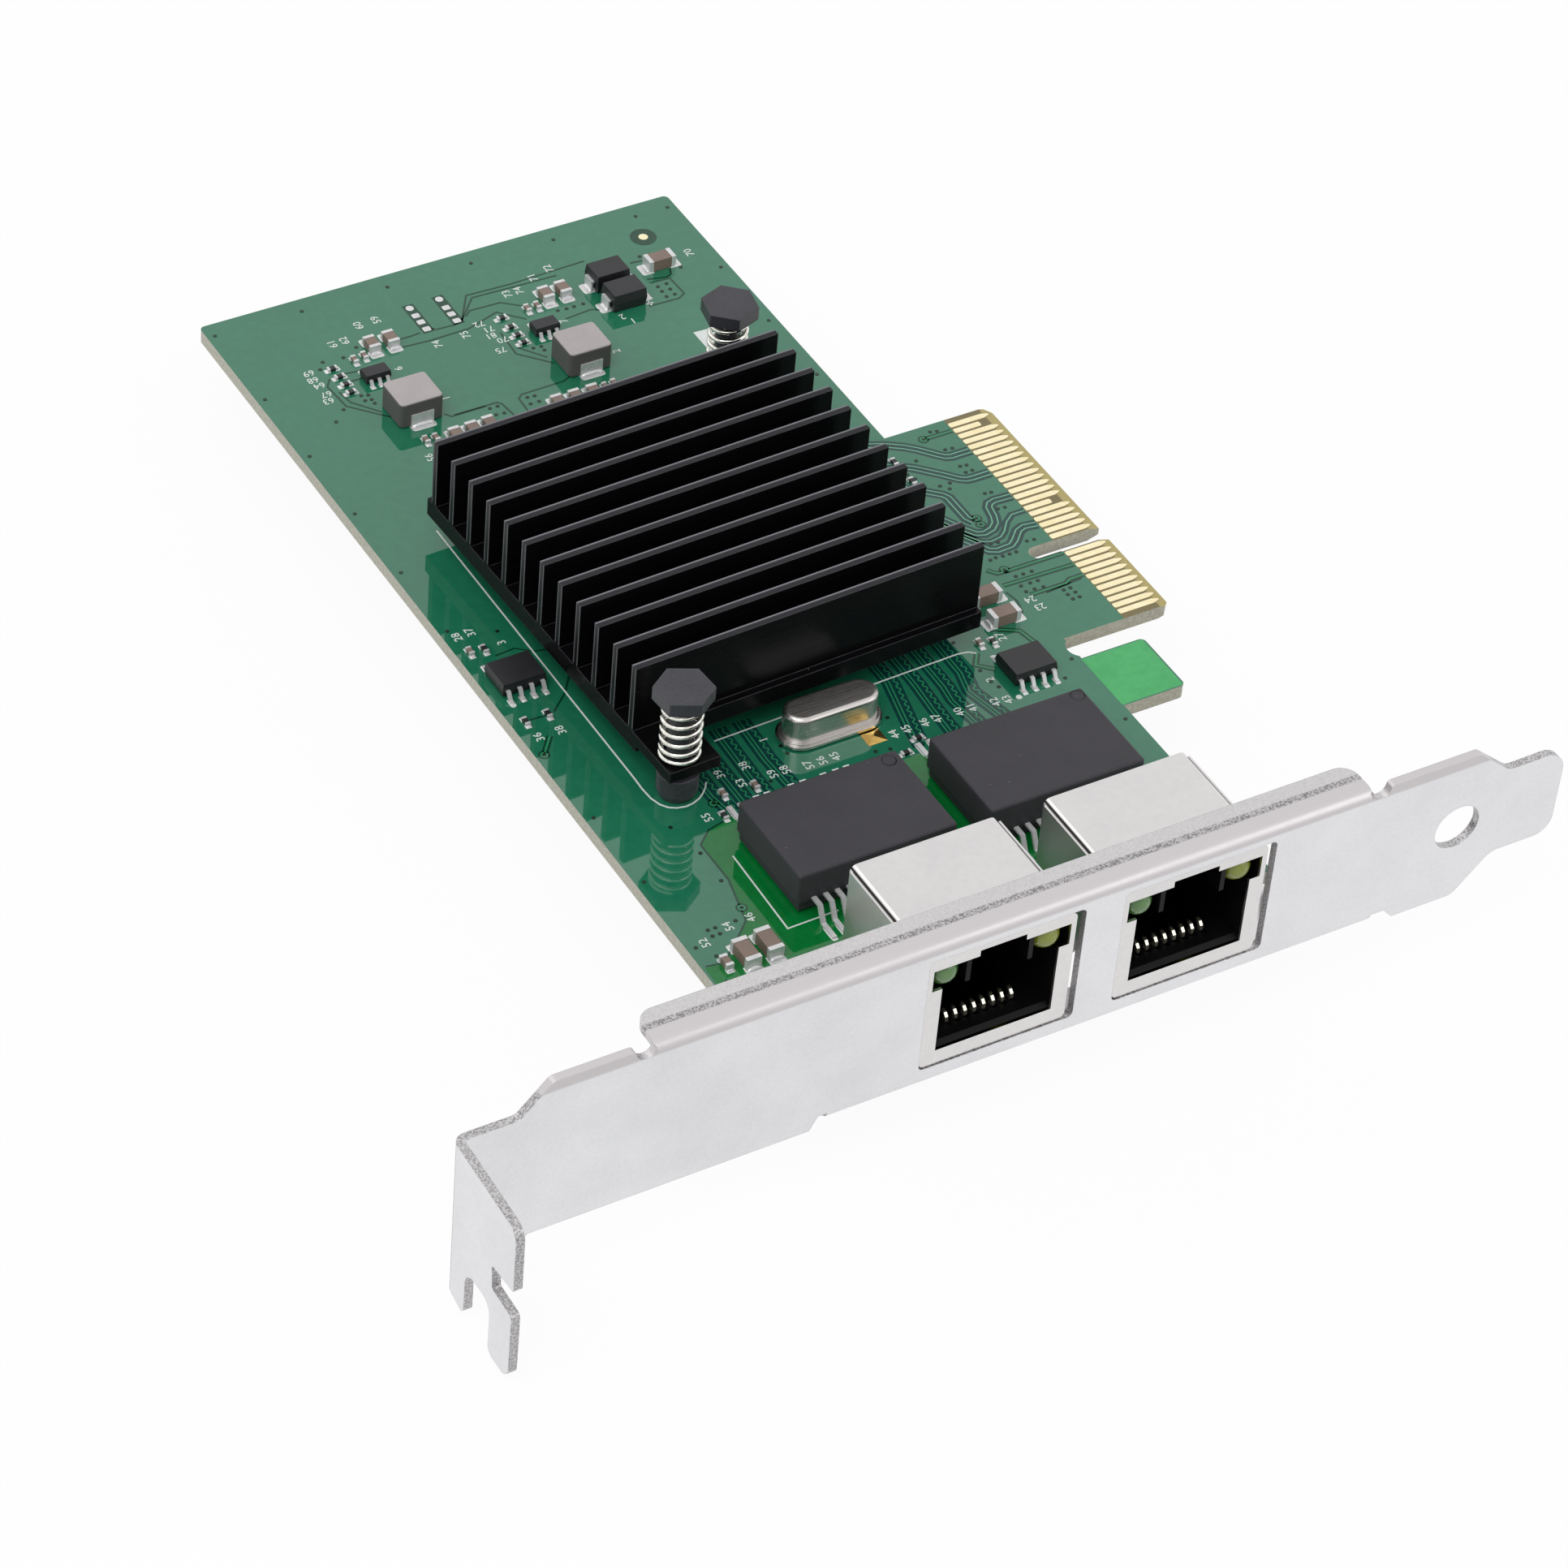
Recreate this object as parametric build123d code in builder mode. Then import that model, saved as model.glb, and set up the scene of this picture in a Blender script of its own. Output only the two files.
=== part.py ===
from build123d import *
import os

os.makedirs("parts", exist_ok=True)

# A two-port network interface card with a four-lane edge connector.
# X runs toward the slot, Y away from the bracket, Z up off the component side.
# The origin is the middle of the key notch, on the connector's edge and the board's top face.

# Circuit board
board_thickness = 1.57
board_left = -68.9
board_right = -12.8
board_far = 69.2
board_front = -50.3
board_corner_radius = 0.6
tongue_far = 22.6
tongue_near = -12.6
tongue_corner = 0.7
bevel_run = 1.3
bevel_depth = 0.42
key_width = 1.9
key_depth = 9.0
slot_near = -15.95
slot_depth = 13.4
hook_near = -23.84
hook_tip = -5.5
hole_clearance = 0.15

# Contact fingers
finger_pitch = 1.0
finger_width = 0.7
finger_inner = -5.6
finger_outer = -1.3
finger_thickness = 0.04
short_finger_cut = 1.1
long_side_count = 21
short_side_count = 11
first_finger = 1.5

# Bracket
sheet = 0.9
bracket_face = -57.68
bracket_tab_face = -105.2
bracket_tail_end = 14.8
plate_top = 14.3
plate_bottom = -4.12
fold_bottom = -3.65
bend_outer = 1.2
bend_overlap = 0.4
bend_inner = bend_outer - sheet
neck_top = 10.9
neck_end = -98.9
neck_step_end = -95.6
neck_bottom = -7.7
top_fold_start = -85.3
top_fold_end = -8.2
top_fold_back = -53.2
relief_width = 2.0
relief_depth = bend_outer + 0.05
relief_corner = 0.45
fold_corner = 1.8
neck_corner = 0.8
bottom_fold_start = -66.4
bottom_fold_end = -5.9
bottom_fold_back = -53.2
ear_back = -43.7
ear_width = 5.8
tail_hole_x = 2.8
tail_hole_z = 5.5
tail_hole_radius = 2.55
# Corners of the tail, as (x, z, rounding)
tail_corners = (
    (4.1, plate_top, 0.8),
    (8.1, 10.8, 1.5),
    (bracket_tail_end, 10.9, 2.5),
    (bracket_tail_end - 0.1, 0.4, 2.0),
    (7.7, 0.4, 2.0),
    (3.7, -3.7, 1.5),
)
# Corners of the hooked screw tab, as (y, z, rounding)
tab_reach = -69.0
tab_corners = (
    (-60.35, -8.45, 0.6),
    (-60.42, -2.6, 1.7),
    (-65.0, -2.55, 1.5),
    (-65.0, -8.7, 0.9),
    (tab_reach + 0.2, -8.75, 1.4),
    (tab_reach + 0.1, -0.5, 0.6),
    (-65.25, -0.3, 0.25),
    (-65.05, 2.5, 0.35),
    (tab_reach, 2.75, 0.3),
    (tab_reach, 10.2, 1.5),
)

# Ports
port_x = (-48.75, -27.62)
port_face = -57.5
port_width = 15.9
port_rear = -43.1
port_top = 12.2
port_nose_bottom = -1.35
nose_back = board_front - 0.15
shell_sheet = 0.3
shell_corner = 0.75
opening_width = 16.81
opening_bottom = -1.43
opening_top = 12.36
opening_shift = 0.375
opening_corner = 0.6
fit_gap = 0.05
cavity_half = port_width * 0.396
cavity_floor = 0.4
cavity_top = 8.3
cavity_back = -46.0
window_half = port_width * 0.465
window_top = 10.85
latch_half = 2.5
latch_top = 11.9
contact_count = 8
contact_pitch = port_width * 0.0639
wire = 0.32
groove = 0.62
rib_top = 0.78
comb_floor = 0.34
comb_drop_start = port_rear - 5.9
comb_drop_end = port_rear - 4.5
contact_front = -55.0
contact_rows = (-46.9, -44.5)
tail_length = 1.25
peg_radius = 1.6
peg_x = port_width * 0.3585
peg_y = -47.9
shell_tail_y = -44.4
shell_tail_width = 1.3
lamp_x = port_width * 0.346
lamp_z = 9.25
lamp_radius = port_width * 0.1
lamp_front = port_face + 0.2
lamp_back = -51.0
lamp_lead_y = -44.6

# Bracket screws
screw_x = (-62.8, -15.7)
screw_y = -46.5
screw_radius = 1.25
screw_head_radius = 2.5
screw_head_height = 1.9
boss_radius = 2.3

# Heatsink and the chip under it
sink_x = -42.2
sink_y = 9.4
sink_turn = 2.2
sink_width = 40.0
sink_depth = 40.6
sink_bottom = 2.75
base_height = 2.0
fin_height = 7.85
fin_count = 12
fin_pitch = 3.47
fin_thickness = 0.8
ear_sink_width = 5.7
ear_sink_height = 1.25
chip_size = 25.0
chip_height = 2.35
pad_size = 22.0
pin_x = sink_width / 2 - 2.25
pin_y = sink_depth / 2 + 4.2
ear_sink_reach = pin_y + 2.0
pin_shaft_radius = 1.3
pin_head_radius = 3.05
pin_head_bottom = 11.9
pin_head_height = 1.5
pin_head_turns = (34, 19)
spring_radius = 1.93
spring_wire = 0.25
spring_turns = 5.4

# Transformers
coil_x = (-48.6, -27.4)
coil_y = -30.1
coil_length = 17.4
coil_width = 11.8
coil_top = 5.0
coil_foot = 0.3
coil_split = 1.5
coil_inset = 0.3
coil_rounding = 0.3
coil_lead_count = 12
coil_lead_pitch = 1.27
coil_lead_reach = 4.2

# Crystal
crystal_x = -40.9
crystal_length = 11.4
crystal_width = 4.8
crystal_gap = 0.6
crystal_foot = 0.2
crystal_base_top = 0.5
crystal_flange_top = 0.8
crystal_top = 3.6
crystal_flange_inset = 0.2
crystal_can_inset = 0.55
crystal_rounding = 0.5
crystal_foot_x = 4.6
crystal_foot_length = 1.4
crystal_foot_width = 0.9

# Places of the small parts, as (x, y)
large_capacitors_flat = ((-19.7, 58.4), (-17.0, -4.2), (-16.9, -7.6))
large_capacitors_deep = ((-64.5, -38.9), (-61.9, -38.6))
medium_capacitors = (
    (-54.1, 58.5),
    (-51.9, 58.5),
    (-33.5, 58.4),
    (-31.4, 58.5),
    (-53.1, 41.2),
    (-51.1, 41.3),
    (-49.1, 41.4),
    (-41.0, 41.5),
    (-38.9, 41.5),
    (-36.8, 41.5),
)
small_capacitors_deep = (
    (-56.75, 57.2),
    (-55.5, 57.4),
    (-36.2, 57.4),
    (-35.0, 57.4),
    (-56.1, 42.2),
    (-55.0, 42.1),
    (-35.1, 42.2),
    (-34.0, 42.3),
    (-67.5, 10.8),
    (-51.8, -18.5),
    (-55.2, -18.2),
    (-21.0, -9.8),
)
resistors_flat = (
    (-59.5, 56.9),
    (-59.4, 55.4),
    (-59.4, 54.0),
    (-59.5, 52.6),
    (-39.4, 57.2),
    (-39.3, 55.4),
    (-39.3, 53.9),
    (-39.3, 52.5),
    (-36.1, -20.7),
    (-33.9, -19.3),
)
resistors_deep = (
    (-66.0, 10.6),
    (-67.4, -0.7),
    (-64.9, -0.6),
    (-19.6, -10.1),
    (-56.6, -20.9),
    (-14.0, 18.6),
    (-13.9, 15.1),
)
memory_places = ((-65.35, 5.35), (-18.8, -15.0))
regulator_places = ((-56.0, 53.9), (-36.2, 53.6))
inductor_places = ((-55.1, 47.3), (-35.2, 47.4))
diode_places = ((-26.2, 58.1), (-26.2, 54.4))
single_capacitor_place = (-66.6, -38.9)
crystal_place = (crystal_x, sink_y - sink_depth / 2 - crystal_gap - crystal_width / 2)

sink_frame = Location((sink_x, sink_y, 0), (0, 0, sink_turn))
pin_places = [sink_frame * Location((s * pin_x, s * pin_y, 0)) for s in (-1, 1)]
sit = (Align.CENTER, Align.CENTER, Align.MIN)


# Shared shapes


def outline(points):
    """A closed outline filled as a face of the sketch it is called in."""
    return Polygon(*points, align=None)


def corner(sketch, u, v):
    """The corner of a sketch nearest a point."""
    return sketch.vertices().sort_by_distance((u, v, 0))[0]


def bent_lead(reach, height, shoulder, thickness, width):
    """A lead that leaves a body along +Y, drops to the board and ends in a foot."""
    drop = 0.45 * height
    skew = 0.75 * thickness
    with BuildPart() as lead:
        with BuildSketch(Plane.YZ):
            outline(
                [
                    (0, height),
                    (shoulder, height),
                    (shoulder + drop, thickness),
                    (reach, thickness),
                    (reach, 0),
                    (shoulder + drop - skew, 0),
                    (shoulder - skew, height - thickness),
                    (0, height - thickness),
                ]
            )
        extrude(amount=width / 2, both=True)
    return lead.part


def lead_rows(centre, half_depth, count, pitch):
    """Places of two rows of leads on the two long sides of a body."""
    places = []
    for i in range(count):
        x = centre[0] + (i - (count - 1) / 2) * pitch
        places.append(Location((x, centre[1] + half_depth, 0), (0, 0, 0)))
        places.append(Location((x, centre[1] - half_depth, 0), (0, 0, 180)))
    return places


def chip_body(length, width, foot, top, slope):
    """A moulded body whose sides lean in a little above and below the middle."""
    middle = (foot + top) / 2
    with BuildPart() as body:
        for end in (foot, top):
            with BuildSketch(Plane.XY.offset(end)):
                Rectangle(length - 2 * slope, width - 2 * slope)
            with BuildSketch(Plane.XY.offset(middle)):
                Rectangle(length, width)
            loft()
    return body.part


def save(part, name):
    """Names a part and writes it out."""
    part.label = name
    export_step(part, "parts/" + name + ".step")


# Circuit board

slot_radius = (tongue_near - slot_near) / 2
slot_middle = (tongue_near + slot_near) / 2
key_radius = key_width / 2

with BuildPart() as circuit_board:
    with BuildSketch(Plane.XY.offset(-board_thickness)):
        outline(
            [
                (board_left, board_front),
                (board_right, board_front),
                (board_right, hook_near),
                (hook_tip, hook_near),
                (hook_tip, slot_near),
                (board_right, slot_near),
                (board_right, tongue_near),
                (-tongue_corner, tongue_near),
                (0, tongue_near + tongue_corner),
                (0, tongue_far - tongue_corner),
                (-tongue_corner, tongue_far),
                (board_right, tongue_far),
                (board_right, board_far),
                (board_left, board_far),
            ]
        )
        with Locations((-key_depth / 2 + key_radius / 2, 0)):
            Rectangle(key_depth - key_radius, key_width, mode=Mode.SUBTRACT)
        with Locations((-key_depth + key_radius, 0)):
            Circle(key_radius, mode=Mode.SUBTRACT)
        with Locations((-slot_depth + slot_radius, slot_middle)):
            Circle(slot_radius, mode=Mode.SUBTRACT)
        for place in pin_places:
            with Locations((place.position.X, place.position.Y)):
                Circle(pin_shaft_radius + hole_clearance, mode=Mode.SUBTRACT)
        for x in screw_x:
            with Locations((x, screw_y)):
                Circle(screw_radius + hole_clearance, mode=Mode.SUBTRACT)
        for x in port_x:
            with Locations((x - peg_x, peg_y), (x + peg_x, peg_y)):
                Circle(peg_radius + fit_gap, mode=Mode.SUBTRACT)
            for i in range(contact_count):
                with Locations((x + (i - 3.5) * contact_pitch, contact_rows[i % 2])):
                    Circle(wire / 2 + 2 * hole_clearance, mode=Mode.SUBTRACT)
            for s in (-1, 1):
                side = x + s * (port_width - shell_sheet) / 2
                with Locations((side, shell_tail_y)):
                    SlotCenterToCenter(
                        shell_tail_width - shell_sheet,
                        3 * shell_sheet,
                        rotation=90,
                        mode=Mode.SUBTRACT,
                    )
                for step in (-0.6, 0.6):
                    with Locations((x + s * lamp_x + step, lamp_lead_y)):
                        Circle(wire / 2 + 2 * hole_clearance, mode=Mode.SUBTRACT)
    extrude(amount=board_thickness)
    board_corners = circuit_board.edges().filter_by(Axis.Z)
    fillet(
        [
            edge
            for edge in board_corners
            if abs(edge.center().X - board_left) < 0.01
            or (abs(edge.center().X - board_right) < 0.01 and edge.center().Y > tongue_far + 1)
            or abs(edge.center().X - hook_tip) < 0.01
        ],
        board_corner_radius,
    )
    with BuildSketch(Plane.XZ.offset(-board_far)):
        for s, z in ((-1, 0), (1, -board_thickness)):
            outline([(-bevel_run, z), (1, z), (1, z + s * bevel_depth), (0, z + s * bevel_depth)])
    extrude(amount=2 * board_far, mode=Mode.SUBTRACT)
save(circuit_board.part, "circuit_board")


# Contact fingers


def fingers(z, short_ones):
    """One face's row of fingers as thin pads, with the given ones cut short."""
    numbers = [first_finger + i * finger_pitch for i in range(long_side_count)]
    numbers += [-first_finger - i * finger_pitch for i in range(short_side_count)]
    with BuildPart() as row:
        with BuildSketch(Plane.XY.offset(z)):
            for y in numbers:
                outer = finger_outer
                if y in short_ones:
                    outer = finger_outer - short_finger_cut
                with Locations(((finger_inner + outer) / 2, y)):
                    RectangleRounded(outer - finger_inner, finger_width, 0.2)
        extrude(amount=finger_thickness)
    return row.part


save(fingers(0, (6.5, 20.5)), "contact_fingers_front")
save(fingers(-board_thickness - finger_thickness, (-11.5,)), "contact_fingers_back")


# Bracket

plate_back = bracket_face + sheet
tab_back = bracket_tab_face + sheet

with BuildPart() as bracket:
    # Flat plate, with the neck beside the tab and the tail at the other end
    with BuildSketch(Plane.XZ.offset(-plate_back)) as plate:
        outline(
            [
                (bracket_tab_face + bend_outer, neck_top),
                (neck_end, neck_top),
                (neck_step_end, plate_top),
                (top_fold_start, plate_top),
                (top_fold_start, plate_top - bend_outer),
                (top_fold_end, plate_top - bend_outer),
                (top_fold_end, plate_top),
                *[(x, z) for x, z, rounding in tail_corners],
                (bottom_fold_end + 2.6, -3.7),
                (bottom_fold_end + 1.5, -2.5),
                (bottom_fold_end, -2.5),
                (bottom_fold_end, fold_bottom + bend_outer),
                (bottom_fold_start, fold_bottom + bend_outer),
                (bottom_fold_start, -2.6),
                (bottom_fold_start - 1.0, -2.6),
                (bottom_fold_start - 1.8, plate_bottom),
                (neck_end + 1.4, plate_bottom),
                (neck_end - 2.1, neck_bottom),
                (bracket_tab_face + bend_outer, neck_bottom),
            ]
        )
        for x, z, rounding in tail_corners:
            fillet(corner(plate, x, z), rounding)
        for x, z in (
            (neck_end, neck_top),
            (neck_step_end, plate_top),
            (neck_end + 1.4, plate_bottom),
            (neck_end - 2.1, neck_bottom),
        ):
            fillet(corner(plate, x, z), neck_corner)
    extrude(amount=sheet)
    # Folded strip along the top, between its two reliefs
    with BuildSketch(Plane.YZ.offset(top_fold_start)) as top_strip:
        outline(
            [
                (bracket_face, plate_top - bend_outer - bend_overlap),
                (bracket_face, plate_top),
                (top_fold_back, plate_top),
                (top_fold_back, plate_top - sheet),
                (plate_back, plate_top - sheet),
                (plate_back, plate_top - bend_outer - bend_overlap),
            ]
        )
        fillet(corner(top_strip, bracket_face, plate_top), bend_outer)
        fillet(corner(top_strip, plate_back, plate_top - sheet), bend_inner)
    extrude(amount=top_fold_end - top_fold_start)
    fillet(
        [
            edge
            for edge in bracket.edges().filter_by(Axis.Z)
            if edge.center().Y > top_fold_back - 0.1 and edge.center().Z > plate_top - sheet
        ],
        fold_corner,
    )
    # Folded strip along the bottom, with an ear behind each end for the board's screws
    with BuildSketch(Plane.YZ.offset(bottom_fold_start)) as bottom_strip:
        outline(
            [
                (bracket_face, fold_bottom + bend_outer + bend_overlap),
                (bracket_face, fold_bottom),
                (bottom_fold_back, fold_bottom),
                (bottom_fold_back, fold_bottom + sheet),
                (plate_back, fold_bottom + sheet),
                (plate_back, fold_bottom + bend_outer + bend_overlap),
            ]
        )
        fillet(corner(bottom_strip, bracket_face, fold_bottom), bend_outer)
        fillet(corner(bottom_strip, plate_back, fold_bottom + sheet), bend_inner)
    extrude(amount=bottom_fold_end - bottom_fold_start)
    with BuildSketch(Plane.XY.offset(fold_bottom)):
        for x in screw_x:
            with Locations((x, (bottom_fold_back + ear_back) / 2 - 0.5)):
                RectangleRounded(ear_width, ear_back - bottom_fold_back + 1.0, 0.9)
    extrude(amount=sheet)
    with BuildSketch(Plane.XY.offset(fold_bottom + sheet)):
        with Locations(*[(x, screw_y) for x in screw_x]):
            Circle(boss_radius)
    extrude(amount=-board_thickness - fold_bottom - sheet)
    with BuildSketch(Plane.XY.offset(fold_bottom)):
        with Locations(*[(x, screw_y) for x in screw_x]):
            Circle(screw_radius + fit_gap)
    extrude(amount=-fold_bottom, mode=Mode.SUBTRACT)
    # Port openings and the round hole in the tail
    with BuildSketch(Plane.XZ.offset(-plate_back)):
        for x in port_x:
            with Locations((x + opening_shift, (opening_bottom + opening_top) / 2)):
                RectangleRounded(opening_width, opening_top - opening_bottom, opening_corner)
        with Locations((tail_hole_x, tail_hole_z)):
            Circle(tail_hole_radius)
    extrude(amount=sheet, mode=Mode.SUBTRACT)

with BuildPart() as bracket_tab:
    # Screw tab: a bend and a leg going outward from the plate, cut to the tab's outline
    with BuildSketch(Plane.XY.offset(neck_bottom - 1.2)) as tab_strip:
        outline(
            [
                (bracket_tab_face, tab_reach - 1),
                (bracket_tab_face, plate_back),
                (bracket_tab_face + bend_outer + bend_overlap, plate_back),
                (bracket_tab_face + bend_outer + bend_overlap, bracket_face),
                (tab_back, bracket_face),
                (tab_back, tab_reach - 1),
            ]
        )
        fillet(corner(tab_strip, bracket_tab_face, plate_back), bend_outer)
        fillet(corner(tab_strip, tab_back, bracket_face), bend_inner)
    extrude(amount=neck_top - neck_bottom + 3)
    with BuildSketch(Plane.YZ.offset(bracket_tab_face - 0.1)) as tab_shape:
        outline(
            [
                (plate_back + 0.1, neck_top),
                (plate_back + 0.1, neck_bottom),
                (bracket_face + 0.3, neck_bottom),
                *[(y, z) for y, z, rounding in tab_corners],
            ]
        )
        for y, z, rounding in tab_corners:
            fillet(corner(tab_shape, y, z), rounding)
    extrude(amount=bend_outer + bend_overlap + 0.2, mode=Mode.INTERSECT)

with BuildPart() as whole_bracket:
    add(bracket.part)
    add(bracket_tab.part)
    # Round-bottomed reliefs at both ends of the top fold
    with BuildSketch(Plane.XZ.offset(-plate_back)):
        for x in (top_fold_start - relief_width / 2, top_fold_end + relief_width / 2):
            with Locations((x, plate_top + relief_width / 2 - relief_depth + 1)):
                SlotOverall(2 + relief_width, relief_width, rotation=90)
    extrude(amount=sheet, mode=Mode.SUBTRACT)
    for x in (top_fold_start - relief_width, top_fold_end + relief_width):
        relief_edges = whole_bracket.edges().filter_by(Axis.Y)
        fillet(relief_edges.sort_by_distance((x, plate_back - sheet / 2, plate_top))[0], relief_corner)
save(whole_bracket.part, "bracket")


# Bracket screws

with BuildPart() as bracket_screws:
    for x in screw_x:
        with Locations((x, screw_y, 0)):
            Cylinder(screw_head_radius, screw_head_height, align=sit)
        with Locations((x, screw_y, fold_bottom)):
            Cylinder(screw_radius, -fold_bottom, align=sit)
    fillet(bracket_screws.edges().group_by(Axis.Z)[-1], 0.6)
    with BuildSketch(Plane.XY.offset(screw_head_height)):
        with Locations(*[(x, screw_y) for x in screw_x]):
            Rectangle(2.4, 0.6)
            Rectangle(0.6, 2.4)
    extrude(amount=-1.1, mode=Mode.SUBTRACT)
save(bracket_screws.part, "bracket_screws")


# Ports


def port_shell(x):
    """The folded metal shell of one port, open below where it sits on the board."""
    half = port_width / 2
    with BuildPart() as shell:
        with BuildSketch(Plane.YZ.offset(x - half)):
            outline(
                [
                    (port_face, port_nose_bottom),
                    (nose_back, port_nose_bottom),
                    (nose_back, 0),
                    (port_rear, 0),
                    (port_rear, port_top),
                    (port_face, port_top),
                ]
            )
        extrude(amount=port_width)
        long_edges = shell.edges().filter_by(Axis.Y)
        fillet(long_edges.group_by(Axis.Z)[-1] + long_edges.group_by(Axis.Z)[0], shell_corner)
        with BuildSketch(Plane.YZ.offset(x - half + shell_sheet)):
            outline(
                [
                    (port_face + shell_sheet, port_nose_bottom + shell_sheet),
                    (nose_back, port_nose_bottom + shell_sheet),
                    (nose_back, port_nose_bottom),
                    (port_rear - shell_sheet, port_nose_bottom),
                    (port_rear - shell_sheet, port_top - shell_sheet),
                    (port_face + shell_sheet, port_top - shell_sheet),
                ]
            )
        extrude(amount=port_width - 2 * shell_sheet, mode=Mode.SUBTRACT)
        # Aperture in the face, stepped for the lamps and for the plug's latch
        with BuildSketch(Plane.XZ.offset(-port_face)):
            outline(
                [
                    (x - cavity_half, cavity_floor),
                    (x - cavity_half, cavity_top),
                    (x - window_half, cavity_top),
                    (x - window_half, window_top),
                    (x - latch_half, window_top),
                    (x - latch_half, latch_top - 0.35),
                    (x + latch_half, latch_top - 0.35),
                    (x + latch_half, window_top),
                    (x + window_half, window_top),
                    (x + window_half, cavity_top),
                    (x + cavity_half, cavity_top),
                    (x + cavity_half, cavity_floor),
                ]
            )
        extrude(amount=-shell_sheet, mode=Mode.SUBTRACT)
        # Folded side panels below the top, with a cropped rear corner
        for s in (-1, 1):
            with BuildSketch(Plane.YZ.offset(x + s * half)):
                outline(
                    [
                        (plate_back + 0.6, 5.3),
                        (port_rear - 2.6, 5.3),
                        (port_rear - 0.4, 7.4),
                        (port_rear - 0.4, port_top - 0.4),
                        (plate_back + 0.6, port_top - 0.4),
                    ]
                )
            extrude(amount=s * 0.22)
        # Two tails through the board
        for s in (-1, 1):
            with Locations((x + s * (half - shell_sheet / 2), shell_tail_y, -board_thickness - tail_length)):
                Box(shell_sheet, shell_tail_width, board_thickness + tail_length, align=sit)
    return shell.part


def port_housing(x):
    """The moulded insert of one port, with the plug's cavity, comb and lamp pockets."""
    half = port_width / 2 - shell_sheet - fit_gap
    front = port_face + shell_sheet + fit_gap
    back = port_rear - shell_sheet - fit_gap
    with BuildPart() as housing:
        with BuildSketch(Plane.YZ.offset(x - half)):
            outline(
                [
                    (front, port_nose_bottom + shell_sheet + fit_gap),
                    (nose_back, port_nose_bottom + shell_sheet + fit_gap),
                    (nose_back, 0),
                    (back, 0),
                    (back, port_top - shell_sheet - fit_gap),
                    (front, port_top - shell_sheet - fit_gap),
                ]
            )
        extrude(amount=2 * half)
        # Plug cavity with a sloped lip, and the latch's channel above it
        with BuildSketch(Plane.YZ.offset(x - cavity_half)):
            outline(
                [
                    (front, cavity_floor),
                    (front + 0.5, rib_top),
                    (cavity_back, rib_top),
                    (cavity_back, cavity_top - 0.5),
                    (front, cavity_top - 0.5),
                ]
            )
        extrude(amount=2 * cavity_half, mode=Mode.SUBTRACT)
        with BuildSketch(Plane.XZ.offset(-front)):
            with Locations((x, (cavity_top + window_top) / 2 - 0.3)):
                Rectangle(2 * (latch_half + 0.6), window_top - cavity_top + 0.6)
            with Locations((x, (cavity_top + latch_top) / 2 - 0.4)):
                Rectangle(2 * latch_half, latch_top - cavity_top + 0.4)
        extrude(amount=front - cavity_back, mode=Mode.SUBTRACT)
        # Comb for the contact wires
        for i in range(contact_count):
            wire_x = x + (i - 3.5) * contact_pitch
            with BuildSketch(Plane.YZ.offset(wire_x - groove / 2)):
                outline(
                    [
                        (contact_front - 0.4, comb_floor),
                        (comb_drop_start, comb_floor),
                        (comb_drop_end, 0),
                        (back, 0),
                        (back, rib_top + 0.2),
                        (cavity_back - 0.1, rib_top + 0.2),
                        (contact_front - 0.4, rib_top + 0.2),
                    ]
                )
            extrude(amount=groove, mode=Mode.SUBTRACT)
        # Lamp pockets, open at the front and rear, with a slot down the rear for the leads
        for s in (-1, 1):
            with BuildSketch(Plane.XZ.offset(-front)):
                with Locations((x + s * lamp_x, lamp_z)):
                    Rectangle(2 * lamp_radius + 0.6, 2 * lamp_radius + 0.1)
            extrude(amount=front - back, mode=Mode.SUBTRACT)
            with BuildSketch(Plane.XY):
                with Locations((x + s * lamp_x, (lamp_lead_y + back) / 2 - 0.2)):
                    Rectangle(2.0, back - lamp_lead_y + 0.6)
            extrude(amount=lamp_z, mode=Mode.SUBTRACT)
        # Two pegs into the board
        with Locations((x - peg_x, peg_y, -board_thickness), (x + peg_x, peg_y, -board_thickness)):
            Cylinder(peg_radius, board_thickness, align=sit)
    return housing.part


def contact_wire(row):
    """The side outline of one sprung contact, from its tail to its free end, as a face."""
    low = comb_floor + 0.02
    tip = cavity_back - 1.25
    return [
        (row - wire / 2, -board_thickness - tail_length),
        (row + wire / 2, -board_thickness - tail_length),
        (row + wire / 2, low + wire),
        (contact_front + 0.8, low + wire),
        (contact_front + 0.45, low + wire + 0.25),
        (contact_front + 0.55, low + wire + 0.6),
        (tip, 2.75),
        (tip - 0.1, 2.75 + wire),
        (contact_front + 0.4, low + wire + 0.95),
        (contact_front + 0.05, low + wire + 0.6),
        (contact_front, low + wire / 2 + 0.2),
        (contact_front + 0.4, low),
        (row - wire / 2, low),
    ]


def port_contacts(x):
    """Eight sprung wires side by side."""
    with BuildPart() as contacts:
        for i in range(contact_count):
            wire_x = x + (i - 3.5) * contact_pitch
            with BuildSketch(Plane.YZ.offset(wire_x - wire / 2)):
                outline(contact_wire(contact_rows[i % 2]))
            extrude(amount=wire)
    return contacts.part


for side, x in zip(("left", "right"), port_x):
    save(port_shell(x), side + "_port_shell")
    save(port_housing(x), side + "_port_housing")
    save(port_contacts(x), side + "_port_contacts")


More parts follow.
